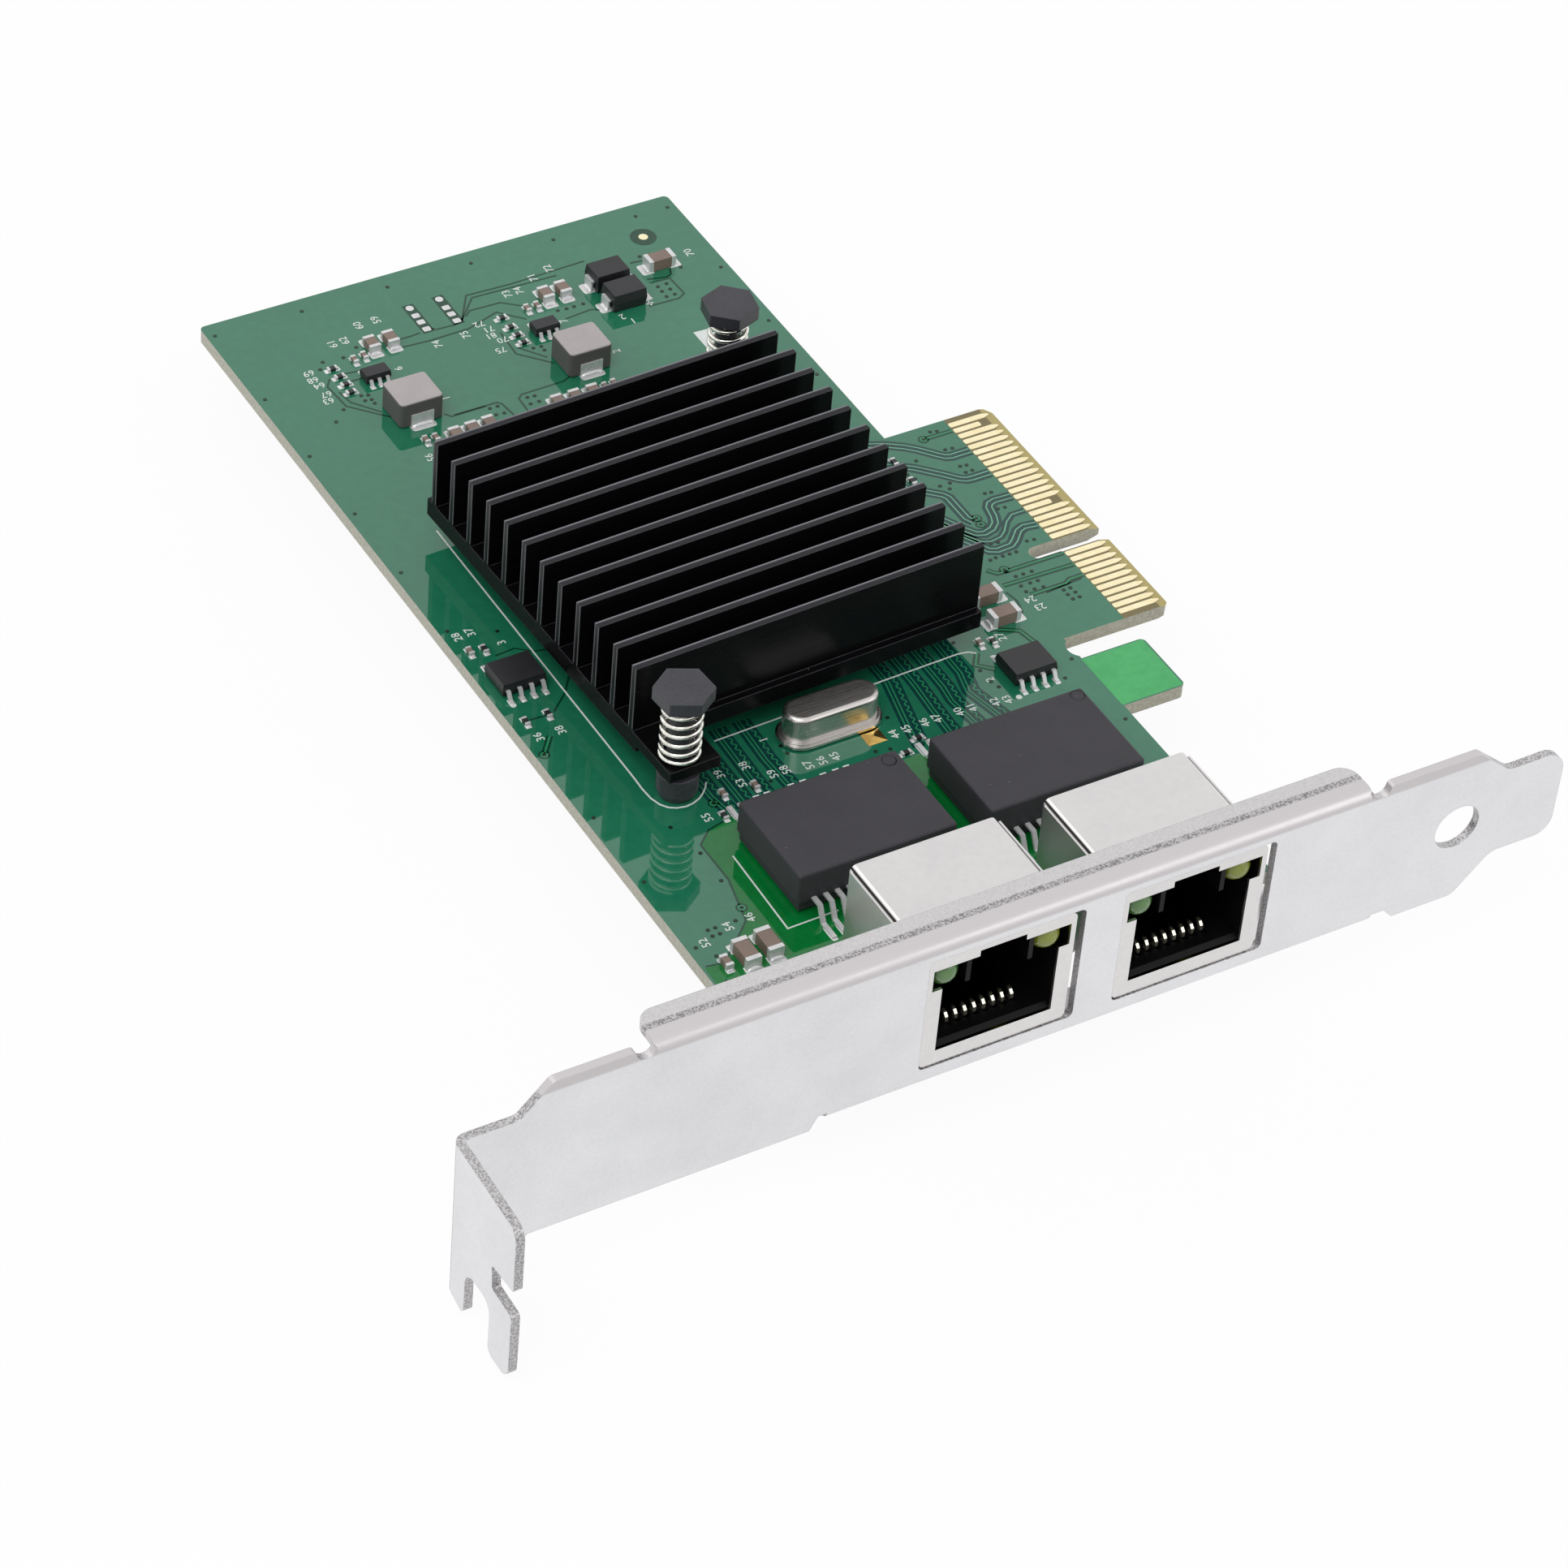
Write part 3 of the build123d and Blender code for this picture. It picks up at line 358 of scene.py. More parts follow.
class Graph:
    """A node tree with short calls to add and join nodes."""

    def __init__(self, tree: bpy.types.NodeTree) -> None:
        """Takes the tree that it adds to."""
        self.tree = tree

    def feed(self, target: Socket, value: object) -> None:
        """Links value if it is a socket, and otherwise sets it.

        Args:
            target: the input.
            value: a socket or a plain value.
        """
        if isinstance(value, Socket):
            self.tree.links.new(value, target)
        else:
            target.default_value = value

    def add(self, kind: str, inputs: dict | None = None, **values: object) -> bpy.types.Node:
        """Adds a node, sets its plain properties and feeds its inputs.

        Args:
            kind: the node's type name without its ShaderNode prefix.
            inputs: sockets or values, by the input's name or number.
            values: properties such as operation or feature.

        Returns:
            The node.
        """
        node = self.tree.nodes.new(kind if kind.startswith("Node") else "ShaderNode" + kind)
        for key, value in values.items():
            setattr(node, key, value)
        for key, value in (inputs or {}).items():
            self.feed(node.inputs[key], value)
        return node

    def math(self, operation: str, a: object, b: object = 0.0) -> Socket:
        """One math node over two sockets or numbers."""
        return self.add("Math", {0: a, 1: b}, operation=operation).outputs[0]

    def times(self, a: object, b: object) -> Socket:
        """a times b."""
        return self.math("MULTIPLY", a, b)

    def minus(self, a: object, b: object) -> Socket:
        """a less b."""
        return self.math("SUBTRACT", a, b)

    def over(self, a: object, b: object) -> Socket:
        """1 where a is greater than b, and otherwise 0."""
        return self.math("GREATER_THAN", a, b)

    def under(self, a: object, b: object) -> Socket:
        """1 where a is less than b, and otherwise 0."""
        return self.math("LESS_THAN", a, b)

    def size(self, a: object) -> Socket:
        """a without its sign."""
        return self.math("ABSOLUTE", a)

    def blend(self, amount: object, a: object, b: object) -> Socket:
        """Mixes two colours: an amount of 0 gives a, and 1 gives b."""
        return self.add("Mix", {0: amount, 6: a, 7: b}, data_type="RGBA").outputs[2]

    def ramp(self, value: object, low: float, high: float, to_low: float = 0.0, to_high: float = 1.0) -> Socket:
        """Maps low..high to to_low..to_high, held at both ends."""
        return self.add("MapRange", dict(enumerate((value, low, high, to_low, to_high)))).outputs[0]

    def across(self, value: object, low: float, high: float) -> Socket:
        """0 at low and 1 at high, both in millimetres."""
        return self.ramp(value, low * MM, high * MM)

    def near(self, value: object, place: float, inner: float, outer: float) -> Socket:
        """1 within inner of a place, and 0 beyond outer."""
        return self.ramp(self.size(self.minus(value, place)), outer, inner)

    def where(self) -> Socket:
        """The point's own place on the card, in metres."""
        return self.add("TexCoord").outputs["Object"]

    def axes(self) -> tuple[Socket, ...]:
        """The point's own X, Y and Z on the card, in metres."""
        return tuple(self.add("SeparateXYZ", {0: self.where()}).outputs)

    def facing(self) -> tuple[Socket, ...]:
        """The X, Y and Z of the way that the true face looks."""
        return tuple(self.add("SeparateXYZ", {0: self.add("NewGeometry").outputs["Normal"]}).outputs)

    def noise(self, scale: object, detail: float = 2.0, where: Socket | None = None) -> Socket:
        """Soft noise over the card, or over another vector."""
        return self.add("TexNoise", {"Vector": where or self.where(), "Scale": scale, "Detail": detail}).outputs[0]


class Effect(Enum):
    """Shader groups that several finishes share."""

    GRAIN = "fine_grain"
    BRUSHED = "drawn_lines"
    EDGE = "painted_edge_light"
    DUST = "light_dust"
    DIMPLE = "moulded_dimple"


class Effects:
    """Builds each shared group once and hands it out."""

    made: dict[Effect, bpy.types.NodeTree] = {}
    fine_share, slow_share = 0.45, 0.55
    mixed_band = (0.36, 0.64)
    noise_band = (0.35, 0.65)
    turn_band = (0.995, 0.82)
    break_scale = 900.0
    speck_size, speck_rarity = 0.11, 0.86
    upward_band = (0.2, 0.9)
    wall_band = (0.8, 1.0)
    wall_rim = (0.92, 0.02, 0.14)

    @classmethod
    def place(cls, graph: Graph, effect: Effect, **values: object) -> bpy.types.bpy_prop_collection:
        """Puts a group in a material; the group is built at its first use.

        Args:
            graph: the material's graph.
            effect: which group.
            values: its inputs by name.

        Returns:
            The group's outputs.
        """
        if effect not in cls.made:
            build = {Effect.GRAIN: cls._grain, Effect.BRUSHED: cls._brushed, Effect.EDGE: cls._edge,
                     Effect.DUST: cls._dust, Effect.DIMPLE: cls._dimple}[effect]
            cls.made[effect] = build(effect.value)
        return graph.add("Group", values, node_tree=cls.made[effect]).outputs

    @staticmethod
    def _start(name: str, inputs: dict[str, float], outputs: Sequence[str]) -> tuple:
        """A new group with named inputs and outputs, and the sockets at its two ends.

        Args:
            name: the group's name.
            inputs: each input's name and first value.
            outputs: the outputs' names.

        Returns:
            Its graph, the sockets that bring values in and those that take them out.
        """
        tree = bpy.data.node_groups.new(name, "ShaderNodeTree")
        for key, value in inputs.items():
            tree.interface.new_socket(key, in_out="INPUT", socket_type="NodeSocketFloat").default_value = value
        for key in outputs:
            kind = "NodeSocketVector" if key == "Normal" else "NodeSocketFloat"
            tree.interface.new_socket(key, in_out="OUTPUT", socket_type=kind)
        graph = Graph(tree)
        return graph, graph.add("NodeGroupInput").outputs, graph.add("NodeGroupOutput").inputs

    @classmethod
    def _grain(cls, name: str) -> bpy.types.NodeTree:
        """Even fine grain with a slow mottle: Height for bump, Shade for colour and roughness.

        Args:
            name: the group's name.

        Returns:
            The group.
        """
        graph, given, out = cls._start(name, {"Size": 0.0002, "Mottle": 0.004}, ("Height", "Shade"))
        fine = graph.noise(graph.math("DIVIDE", 1.0, given["Size"]), 3.0)
        slow = graph.noise(graph.math("DIVIDE", 1.0, given["Mottle"]), 4.0)
        graph.feed(out["Height"], fine)
        mixed = graph.math("ADD", graph.times(fine, cls.fine_share), graph.times(slow, cls.slow_share))
        graph.feed(out["Shade"], graph.ramp(mixed, *cls.mixed_band))
        return graph.tree

    @classmethod
    def _brushed(cls, name: str) -> bpy.types.NodeTree:
        """Drawn or rolled lines: noise squeezed across one direction on the card's plane.

        Args:
            name: the group's name.

        Returns:
            The group.
        """
        graph, given, out = cls._start(name, {"Turn": 0.0, "Pitch": 0.00015, "Run": 0.02}, ("Height", "Shade"))
        turn = graph.add("CombineXYZ", {2: given["Turn"]}).outputs[0]
        spun = graph.add("Mapping", {"Vector": graph.where(), "Rotation": turn}).outputs[0]
        along, cross = (graph.math("DIVIDE", 1.0, given[key]) for key in ("Run", "Pitch"))
        scale = graph.add("CombineXYZ", {0: along, 1: cross, 2: cross}).outputs[0]
        lines = graph.noise(1.0, 3.0, graph.add("Mapping", {"Vector": spun, "Scale": scale}).outputs[0])
        graph.feed(out["Height"], lines)
        graph.feed(out["Shade"], graph.ramp(lines, *cls.noise_band))
        return graph.tree

    @classmethod
    def _edge(cls, name: str) -> bpy.types.NodeTree:
        """Where the face turns near an edge: Mask, from how far a rounded normal leaves the true one; the finishes
        paint their edge highlight through it, broken up by noise.

        Args:
            name: the group's name.

        Returns:
            The group.
        """
        graph, given, out = cls._start(name, {"Width": 0.0001, "Break": 0.5}, ("Mask", "Normal"))
        soft = graph.add("Bevel", {"Radius": given["Width"]}, samples=4).outputs[0]
        true = graph.add("NewGeometry").outputs["Normal"]
        alike = graph.add("VectorMath", {0: soft, 1: true}, operation="DOT_PRODUCT").outputs["Value"]
        broken = graph.ramp(graph.noise(cls.break_scale), *cls.noise_band)
        kept = graph.minus(1.0, graph.times(given["Break"], broken))
        graph.feed(out["Mask"], graph.times(graph.ramp(alike, *cls.turn_band), kept))
        graph.feed(out["Normal"], soft)
        return graph.tree

    @classmethod
    def _dust(cls, name: str) -> bpy.types.NodeTree:
        """Sparse specks, more on faces that look up: Mask.

        Args:
            name: the group's name.

        Returns:
            The group.
        """
        graph, given, out = cls._start(name, {"Size": 0.0006, "Amount": 0.5}, ("Mask",))
        specks = graph.add("TexVoronoi", {"Vector": graph.where(), "Scale": graph.math("DIVIDE", 1.0, given["Size"])},
                           feature="F1").outputs
        chance = graph.add("SeparateColor", {0: specks["Color"]}).outputs
        small = graph.under(specks["Distance"], graph.times(chance[1], cls.speck_size))
        rare = graph.times(graph.over(chance[0], cls.speck_rarity), small)
        mask = graph.times(rare, graph.ramp(graph.facing()[2], *cls.upward_band))
        graph.feed(out["Mask"], graph.times(mask, given["Amount"]))
        return graph.tree

    @classmethod
    def _dimple(cls, name: str) -> bpy.types.NodeTree:
        """A shallow round recess about a point on the card: Height falls inside it, Rim marks its wall.

        Args:
            name: the group's name.

        Returns:
            The group.
        """
        graph, given, out = cls._start(name, {"X": 0.0, "Y": 0.0, "Radius": 0.0008}, ("Height", "Rim"))
        x, y, _ = graph.axes()
        dx, dy = graph.minus(x, given["X"]), graph.minus(y, given["Y"])
        away = graph.math("SQRT", graph.math("ADD", graph.times(dx, dx), graph.times(dy, dy)))
        share = graph.math("DIVIDE", away, given["Radius"])
        graph.feed(out["Height"], graph.ramp(share, *cls.wall_band))
        graph.feed(out["Rim"], graph.near(share, *cls.wall_rim))
        return graph.tree


# ---------------------------------------------------------------- finishes


@dataclass(frozen=True)
class Finish:
    """A surface of one substance: two close colours, grain, polish, and a tone painted along its edges: a painted
    highlight, and painted shade where the edge colour is darker.
    """

    name: str
    slot: str
    colour: Colour
    second: Colour
    roughness: float = 0.5
    roughness_spread: float = 0.08
    metallic: float = 0.0
    specular: float = 0.5
    coat: float = 0.0
    coat_roughness: float = 0.1
    grain_size: float = 0.0002
    grain_mottle: float = 0.004
    grain_depth: float = 2e-6
    # edge settings: painted edge light, a highlight where the edge colour is lighter and shade where it is darker,
    # broken up by noise
    edge_width: float = 8e-5
    painted_edge_amount: float = 0.0
    edge_break: float = 0.45
    painted_edge_colour: Colour = (200, 200, 200)
    dust: float = 0.0
    dust_colour: Colour = (190, 188, 182)
    dust_roughness: float = 0.8

    def material(self) -> bpy.types.Material:
        """The Blender material, built once and then found by its name.

        Returns:
            The material.
        """
        found = bpy.data.materials.get(self.name)
        if found is not None:
            return found
        made = bpy.data.materials.new(self.name)
        made.use_nodes = True
        made.node_tree.nodes.clear()
        graph = Graph(made.node_tree)
        shader = graph.add("BsdfPrincipled", {
            "Metallic": self.metallic, "Specular IOR Level": self.specular,
            "Coat Weight": self.coat, "Coat Roughness": self.coat_roughness})
        graph.add("OutputMaterial", {"Surface": shader.outputs[0]})
        self.dress(graph, shader)
        made.diffuse_color = linear(self.colour)
        return made

    def pattern(self, graph: Graph) -> bpy.types.bpy_prop_collection:
        """The outputs whose Height and Shade give this finish its grain."""
        return Effects.place(graph, Effect.GRAIN, Size=self.grain_size, Mottle=self.grain_mottle)

    def dress(self, graph: Graph, shader: bpy.types.Node) -> None:
        """Feeds the shader's colour, roughness and normal.

        Args:
            graph: the material's graph.
            shader: its Principled node.
        """
        grain = self.pattern(graph)
        colour = self.marked(graph, graph.blend(grain["Shade"], linear(self.colour), linear(self.second)))
        rough = self.polished(graph, graph.ramp(grain["Shade"], 0.0, 1.0, self.roughness - self.roughness_spread,
                                                self.roughness + self.roughness_spread))
        bump = graph.add("Bump", {"Strength": 1.0, "Distance": self.grain_depth,
                                  "Height": self.height(graph, grain["Height"])})
        # Painted edge light: the edge colour mixed in where the face turns at an edge
        if self.painted_edge_amount > 0.0:
            edge = Effects.place(graph, Effect.EDGE, Width=self.edge_width, Break=self.edge_break)
            colour = graph.blend(graph.times(edge["Mask"], self.painted_edge_amount), colour, linear(self.painted_edge_colour))
            graph.feed(bump.inputs["Normal"], edge["Normal"])
        if self.dust > 0.0:
            dust = Effects.place(graph, Effect.DUST, Amount=self.dust)["Mask"]
            colour = graph.blend(dust, colour, linear(self.dust_colour))
            rough = graph.math("MAXIMUM", rough, graph.times(dust, self.dust_roughness))
        for key, value in (("Base Color", colour), ("Roughness", rough), ("Normal", bump.outputs[0])):
            graph.feed(shader.inputs[key], value)

    def marked(self, graph: Graph, colour: Socket) -> Socket:
        """The colour with this finish's own marks; none on a plain one."""
        return colour

    def polished(self, graph: Graph, rough: Socket) -> Socket:
        """The roughness with this finish's own duller parts; none on a plain one."""
        return rough

    def height(self, graph: Graph, grain: Socket) -> Socket:
        """The bump height with this finish's own relief; only the grain on a plain one."""
        return grain


@dataclass(frozen=True)
class DrawnFinish(Finish):
    """A finish whose grain runs one way, as on extruded or rolled metal."""

    run_turn: float = 0.0
    run_length: float = 0.03

    def pattern(self, graph: Graph) -> bpy.types.bpy_prop_collection:
        """Drawn lines in place of the even grain."""
        return Effects.place(graph, Effect.BRUSHED, Turn=math.radians(self.run_turn), Pitch=self.grain_size,
                             Run=self.run_length)


@dataclass(frozen=True)
class DimpledFinish(Finish):
    """Moulded epoxy with shallow round marks at given points, in millimetres on the card, with painted shade on each
    mark's wall.
    """

    dimples: tuple[tuple[float, float, float], ...] = ()
    dimple_depth: float = 30.0
    # wall: the painted shade colour of each dimple's wall
    wall: Colour = (8, 8, 9)
    wall_shade_amount: float = 0.75

    def _marks(self, graph: Graph, output: str) -> list[Socket]:
        """One output of each dimple's group."""
        return [Effects.place(graph, Effect.DIMPLE, X=x * MM, Y=y * MM, Radius=radius * MM)[output]
                for x, y, radius in self.dimples]

    def marked(self, graph: Graph, colour: Socket) -> Socket:
        """Paints shade on the wall of each dimple.

        Args:
            graph: the material's graph.
            colour: the colour so far.

        Returns:
            The colour with the marks.
        """
        for rim in self._marks(graph, "Rim"):
            colour = graph.blend(graph.times(rim, self.wall_shade_amount), colour, linear(self.wall))
        return colour

    def height(self, graph: Graph, grain: Socket) -> Socket:
        """Adds each dimple's fall to the grain.

        Args:
            graph: the material's graph.
            grain: the grain's height.

        Returns:
            The height with the dimples.
        """
        for fall in self._marks(graph, "Height"):
            grain = graph.math("ADD", grain, graph.times(fall, self.dimple_depth))
        return grain


@dataclass(frozen=True)
class BoardFinish(Finish):
    """Glass laminate: green mask on both faces, pale resin at the cut edges and bare at the tongue."""

    laminate: Colour = (198, 196, 174)
    laminate_second: Colour = (180, 176, 152)
    bare: Colour = (172, 154, 62)
    between: Colour = (112, 98, 44)
    tongue_line: float = -5.65
    finger_end: float = -1.3
    tongue_side: float = -16.0
    weave: float = 2600.0
    mask_fade: float = 0.05
    finger_fade: Point = (0.1, 0.15)
    upright: Point = (0.8, 0.4)
    weave_band: Point = (0.4, 0.6)

    def marked(self, graph: Graph, colour: Socket) -> Socket:
        """Pale resin where the face stands upright, and bare resin past the mask's end on the tongue.

        Args:
            graph: the material's graph.
            colour: the colour so far.

        Returns:
            The colour with the marks.
        """
        x, y, _ = graph.axes()
        past = graph.times(graph.across(x, self.tongue_line, self.tongue_line + self.mask_fade),
                           graph.over(y, self.tongue_side * MM))
        side = graph.ramp(graph.size(graph.facing()[2]), *self.upright)
        fibre = graph.blend(graph.ramp(graph.noise(self.weave), *self.weave_band), linear(self.laminate),
                            linear(self.laminate_second))
        before, after = self.finger_fade
        open_end = graph.across(x, self.finger_end - before, self.finger_end + after)
        resin = graph.blend(open_end, linear(self.between), linear(self.bare))
        return graph.blend(side, graph.blend(past, colour, resin), fibre)


@dataclass(frozen=True)
class SheetFinish(Finish):
    """Plated sheet: smooth faces, darker, coarser metal where it was cut, and painted shade over the top fold."""

    cut: Colour = (132, 130, 131)
    torn: Colour = (206, 204, 205)
    # The bend colour and the two strip colours are painted shade tones of the top fold, the strip over a coarse grain
    painted_bend_shade: Colour = (206, 202, 203)
    strip: Colour = (197, 195, 196)
    strip_second: Colour = (210, 208, 209)
    plate_front: float = -57.68
    plate_back: float = -56.78
    tab_back: float = -104.3
    fold_low: float = 13.1
    fold_line: float = -55.5
    coarse: float = 5200.0
    plate_margin: Point = (0.05, 0.02)
    plate_way: float = 0.7
    tab_way: float = 0.5
    fold_fade: float = 0.15
    line_fade: float = 0.05
    speck_band: Point = (0.34, 0.6)
    shade_row_place: tuple[float, float, float] = (0.3, 0.28, 0.46)
    shade_row_band: tuple[float, float, float, float] = (0.56, 0.42, 0.25, 1.0)

    def marked(self, graph: Graph, colour: Socket) -> Socket:
        """Grey cut edges round the plate and the tab, and painted shade over the top fold: a greyer bend, a speckled
        grey band behind the bend's end, and a darker speckled line just behind that end.

        Args:
            graph: the material's graph.
            colour: the colour so far.

        Returns:
            The colour with the marks.
        """
        x, y, z = graph.axes()
        nx, ny = (graph.size(way) for way in graph.facing()[:2])
        before, after = self.plate_margin
        in_plate = graph.times(graph.over(y, (self.plate_front - before) * MM),
                               graph.under(y, (self.plate_back + after) * MM))
        plate = graph.times(in_plate, graph.under(ny, self.plate_way))
        tab = graph.times(graph.under(x, self.tab_back * MM), graph.under(nx, self.tab_way))
        fold = graph.across(z, self.fold_low - self.fold_fade, self.fold_low + self.fold_fade)
        cut = graph.times(graph.math("MAXIMUM", plate, tab), graph.minus(1.0, fold))
        coarse = graph.noise(self.coarse, 4.0)
        speck = graph.ramp(coarse, *self.speck_band)
        # Painted shade: the greyer bend tone over the whole top fold
        colour = graph.blend(fold, colour, linear(self.painted_bend_shade))
        # Painted shade over coarse grain: the speckled grey band behind the bend's end
        past = graph.across(y, self.fold_line - self.line_fade, self.fold_line + self.line_fade)
        behind = graph.times(fold, past)
        colour = graph.blend(behind, colour, graph.blend(speck, linear(self.strip), linear(self.strip_second)))
        # Painted shade: a darker speckled line just behind the bend's end
        shift, inner, outer = self.shade_row_place
        shade_row = graph.times(graph.near(y, (self.fold_line + shift) * MM, inner * MM, outer * MM),
                          graph.ramp(coarse, *self.shade_row_band))
        colour = graph.blend(graph.times(fold, shade_row), colour, linear(self.cut))
        return graph.blend(cut, colour, graph.blend(speck, linear(self.cut), linear(self.torn)))


@dataclass(frozen=True)
class ShadedWireFinish(Finish):
    """Contact wire, bright at its front and painted dark behind as the shade inside the port."""

    painted_shade: Colour = (26, 25, 22)
    shade_from: float = -54.3
    fade: float = 0.25

    def marked(self, graph: Graph, colour: Socket) -> Socket:
        """Painted shade behind a line along Y, in millimetres: the wire's run into the dark inside of the port."""
        behind = graph.across(graph.axes()[1], self.shade_from - self.fade, self.shade_from + self.fade)
        return graph.blend(behind, colour, linear(self.painted_shade))


@dataclass(frozen=True)
class SideShadeFinish(Finish):
    """A pressed body with painted shade on its sides: its sides take a darker colour than its top."""

    # side: the painted shade colour of the faces that don't look up
    side: Colour = (92, 89, 88)
    side_band: Point = (0.85, 0.5)

    def marked(self, graph: Graph, colour: Socket) -> Socket:
        """Painted shade: the darker side colour wherever the face doesn't look up."""
        return graph.blend(graph.ramp(graph.facing()[2], *self.side_band), colour, linear(self.side))


@dataclass(frozen=True)
class ShellFinish(Finish):
    """Plated shell: bright top, duller sides, and a dark seam near the left edge of each top."""

    seams: tuple[float, ...] = (-56.55, -35.42)
    seam_colour: Colour = (46, 44, 41)
    side_roughness: float = 0.34
    top_band: Point = (0.3, 0.5)
    side_band: Point = (0.5, 0.9)
    seam_half: Point = (0.05, 0.11)

    def marked(self, graph: Graph, colour: Socket) -> Socket:
        """Darkens a narrow line at each seam, in millimetres along X, on faces that look up.

        Args:
            graph: the material's graph.
            colour: the colour so far.

        Returns:
            The colour with the marks.
        """
        x, flat = graph.axes()[0], graph.ramp(graph.facing()[2], *self.top_band)
        inner, outer = self.seam_half
        for seam in self.seams:
            line = graph.near(x, seam * MM, inner * MM, outer * MM)
            colour = graph.blend(graph.times(flat, line), colour, linear(self.seam_colour))
        return colour

    def polished(self, graph: Graph, rough: Socket) -> Socket:
        """Duller metal on the faces that look sideways along X."""
        side = graph.ramp(graph.size(graph.facing()[0]), *self.side_band, 0.0, self.side_roughness)
        return graph.math("MAXIMUM", rough, side)


@dataclass(frozen=True)
class FinLightFinish(DrawnFinish):
    """Dyed extrusion with painted light on its fins: paler fin tops, and a painted highlight line along each fin's
    edge.

    The fins stand at an even pitch, in millimetres, across a frame turned about the sink's middle.
    """

    # tip: the painted light on the fin tops; bright: the colour of the painted highlight lines
    tip: Colour = (46, 46, 50)
    bright: Colour = (128, 128, 134)
    tip_height: float = 12.6
    base_height: float = 5.0
    middle: Point = (-42.2, 9.4)
    turn: float = 2.2
    pitch: float = 3.47
    thickness: float = 0.8
    laps_ahead: float = 8.0
    tip_fade: Point = (0.05, 0.01)
    highlight_back_line: Point = (0.24, 0.14)
    highlight_end_line: Point = (0.2, 0.1)
    highlight_end_amount: float = 0.6
    end_way: float = 0.7

    def _behind(self, graph: Graph, x: Socket, y: Socket) -> Socket:
        """How far a point lies behind the middle of its own fin, in millimetres.

        Args:
            graph: the material's graph.
            x, y: the point's place, in metres.

        Returns:
            The distance, negative in front of the fin's middle.
        """
        angle = math.radians(self.turn)
        dx, dy = graph.minus(x, self.middle[0] * MM), graph.minus(y, self.middle[1] * MM)
        along = graph.minus(graph.times(dy, math.cos(angle)), graph.times(dx, math.sin(angle)))
        laps = graph.math("ADD", graph.math("DIVIDE", along, self.pitch * MM), self.laps_ahead)
        return graph.times(graph.minus(graph.math("FRACT", laps), 0.5), self.pitch)

    def marked(self, graph: Graph, colour: Socket) -> Socket:
        """Painted light on the fins: a paler top, and painted highlights at their back edge and at both edges of
        their ends.

        Args:
            graph: the material's graph.
            colour: the colour so far.

        Returns:
            The colour with the marks.
        """
        x, y, z = graph.axes()
        behind = self._behind(graph, x, y)
        half = 0.5 * self.thickness
        top = graph.across(z, *(self.tip_height - below for below in self.tip_fade))
        colour = graph.blend(top, colour, linear(self.tip))
        back = graph.times(top, graph.ramp(behind, *(half - inside for inside in self.highlight_back_line)))
        ends = graph.times(graph.over(graph.size(graph.facing()[0]), self.end_way),
                           graph.over(z, self.base_height * MM))
        line = (half - inside for inside in self.highlight_end_line)
        ends = graph.times(ends, graph.ramp(graph.size(behind), *line, 0.0, self.highlight_end_amount))
        return graph.blend(graph.math("MAXIMUM", back, ends), colour, linear(self.bright))


# A lighter edge colour on a finish is a painted edge highlight; the bracket's darker one is painted edge shade
MASK = BoardFinish("green_mask", "board", (28, 112, 82), (36, 121, 90), roughness=0.035, roughness_spread=0.01,
                   specular=0.86, grain_size=0.0011, grain_mottle=0.02, grain_depth=2e-7)
GOLD = Finish("contact_gold", "gold", (255, 246, 210), (248, 232, 184), roughness=0.22, roughness_spread=0.06,
              metallic=1.0, grain_size=0.00025, grain_mottle=0.002, grain_depth=5e-7)
# Contact wire whose rear run is painted in shade
WIRE = ShadedWireFinish("plated_wire", "gold", (240, 236, 220), (226, 220, 198), roughness=0.22, roughness_spread=0.06,
                    metallic=0.9, grain_size=0.00015, grain_mottle=0.001, grain_depth=5e-7)
# Bracket steel with painted shade over its top fold and painted shade along its edges
BRACKET = SheetFinish("satin_plate", "bracket_steel", (236, 236, 238), (229, 229, 232), roughness=0.34,
                      roughness_spread=0.05, metallic=0.8, grain_size=0.00035, grain_mottle=0.006,
                      grain_depth=1.2e-6, painted_edge_amount=0.3, painted_edge_colour=(164, 164, 166), edge_width=0.00012)
SCREW = Finish("zinc_screw", "screw_steel", (188, 188, 190), (160, 160, 164), roughness=0.34, metallic=1.0,
               grain_size=0.0002, grain_depth=1.2e-6)
NICKEL = ShellFinish("bright_nickel", "nickel", (220, 218, 217), (213, 211, 211), roughness=0.09,
                     roughness_spread=0.02, metallic=1.0, grain_size=0.0008, grain_mottle=0.006, grain_depth=2e-7)
HOUSING = Finish("black_moulding", "black_plastic", (8, 8, 9), (13, 13, 14), roughness=0.45,
                 roughness_spread=0.08, specular=0.15, grain_size=0.00012, grain_depth=2e-6)
GREEN_LAMP = Finish("green_resin", "green_lens", (106, 152, 86), (86, 132, 68), roughness=0.18,
                    roughness_spread=0.04, grain_size=0.0008, grain_mottle=0.002, grain_depth=1e-6, coat=0.4)
AMBER_LAMP = replace(GREEN_LAMP, name="lime_resin", slot="amber_lens", colour=(162, 170, 62), second=(138, 150, 46))
TIN = Finish("soft_tin", "tin", (230, 230, 230), (208, 208, 210), roughness=0.3, roughness_spread=0.09, metallic=0.35,
             grain_size=0.00012, grain_mottle=0.0008, grain_depth=2.5e-6)
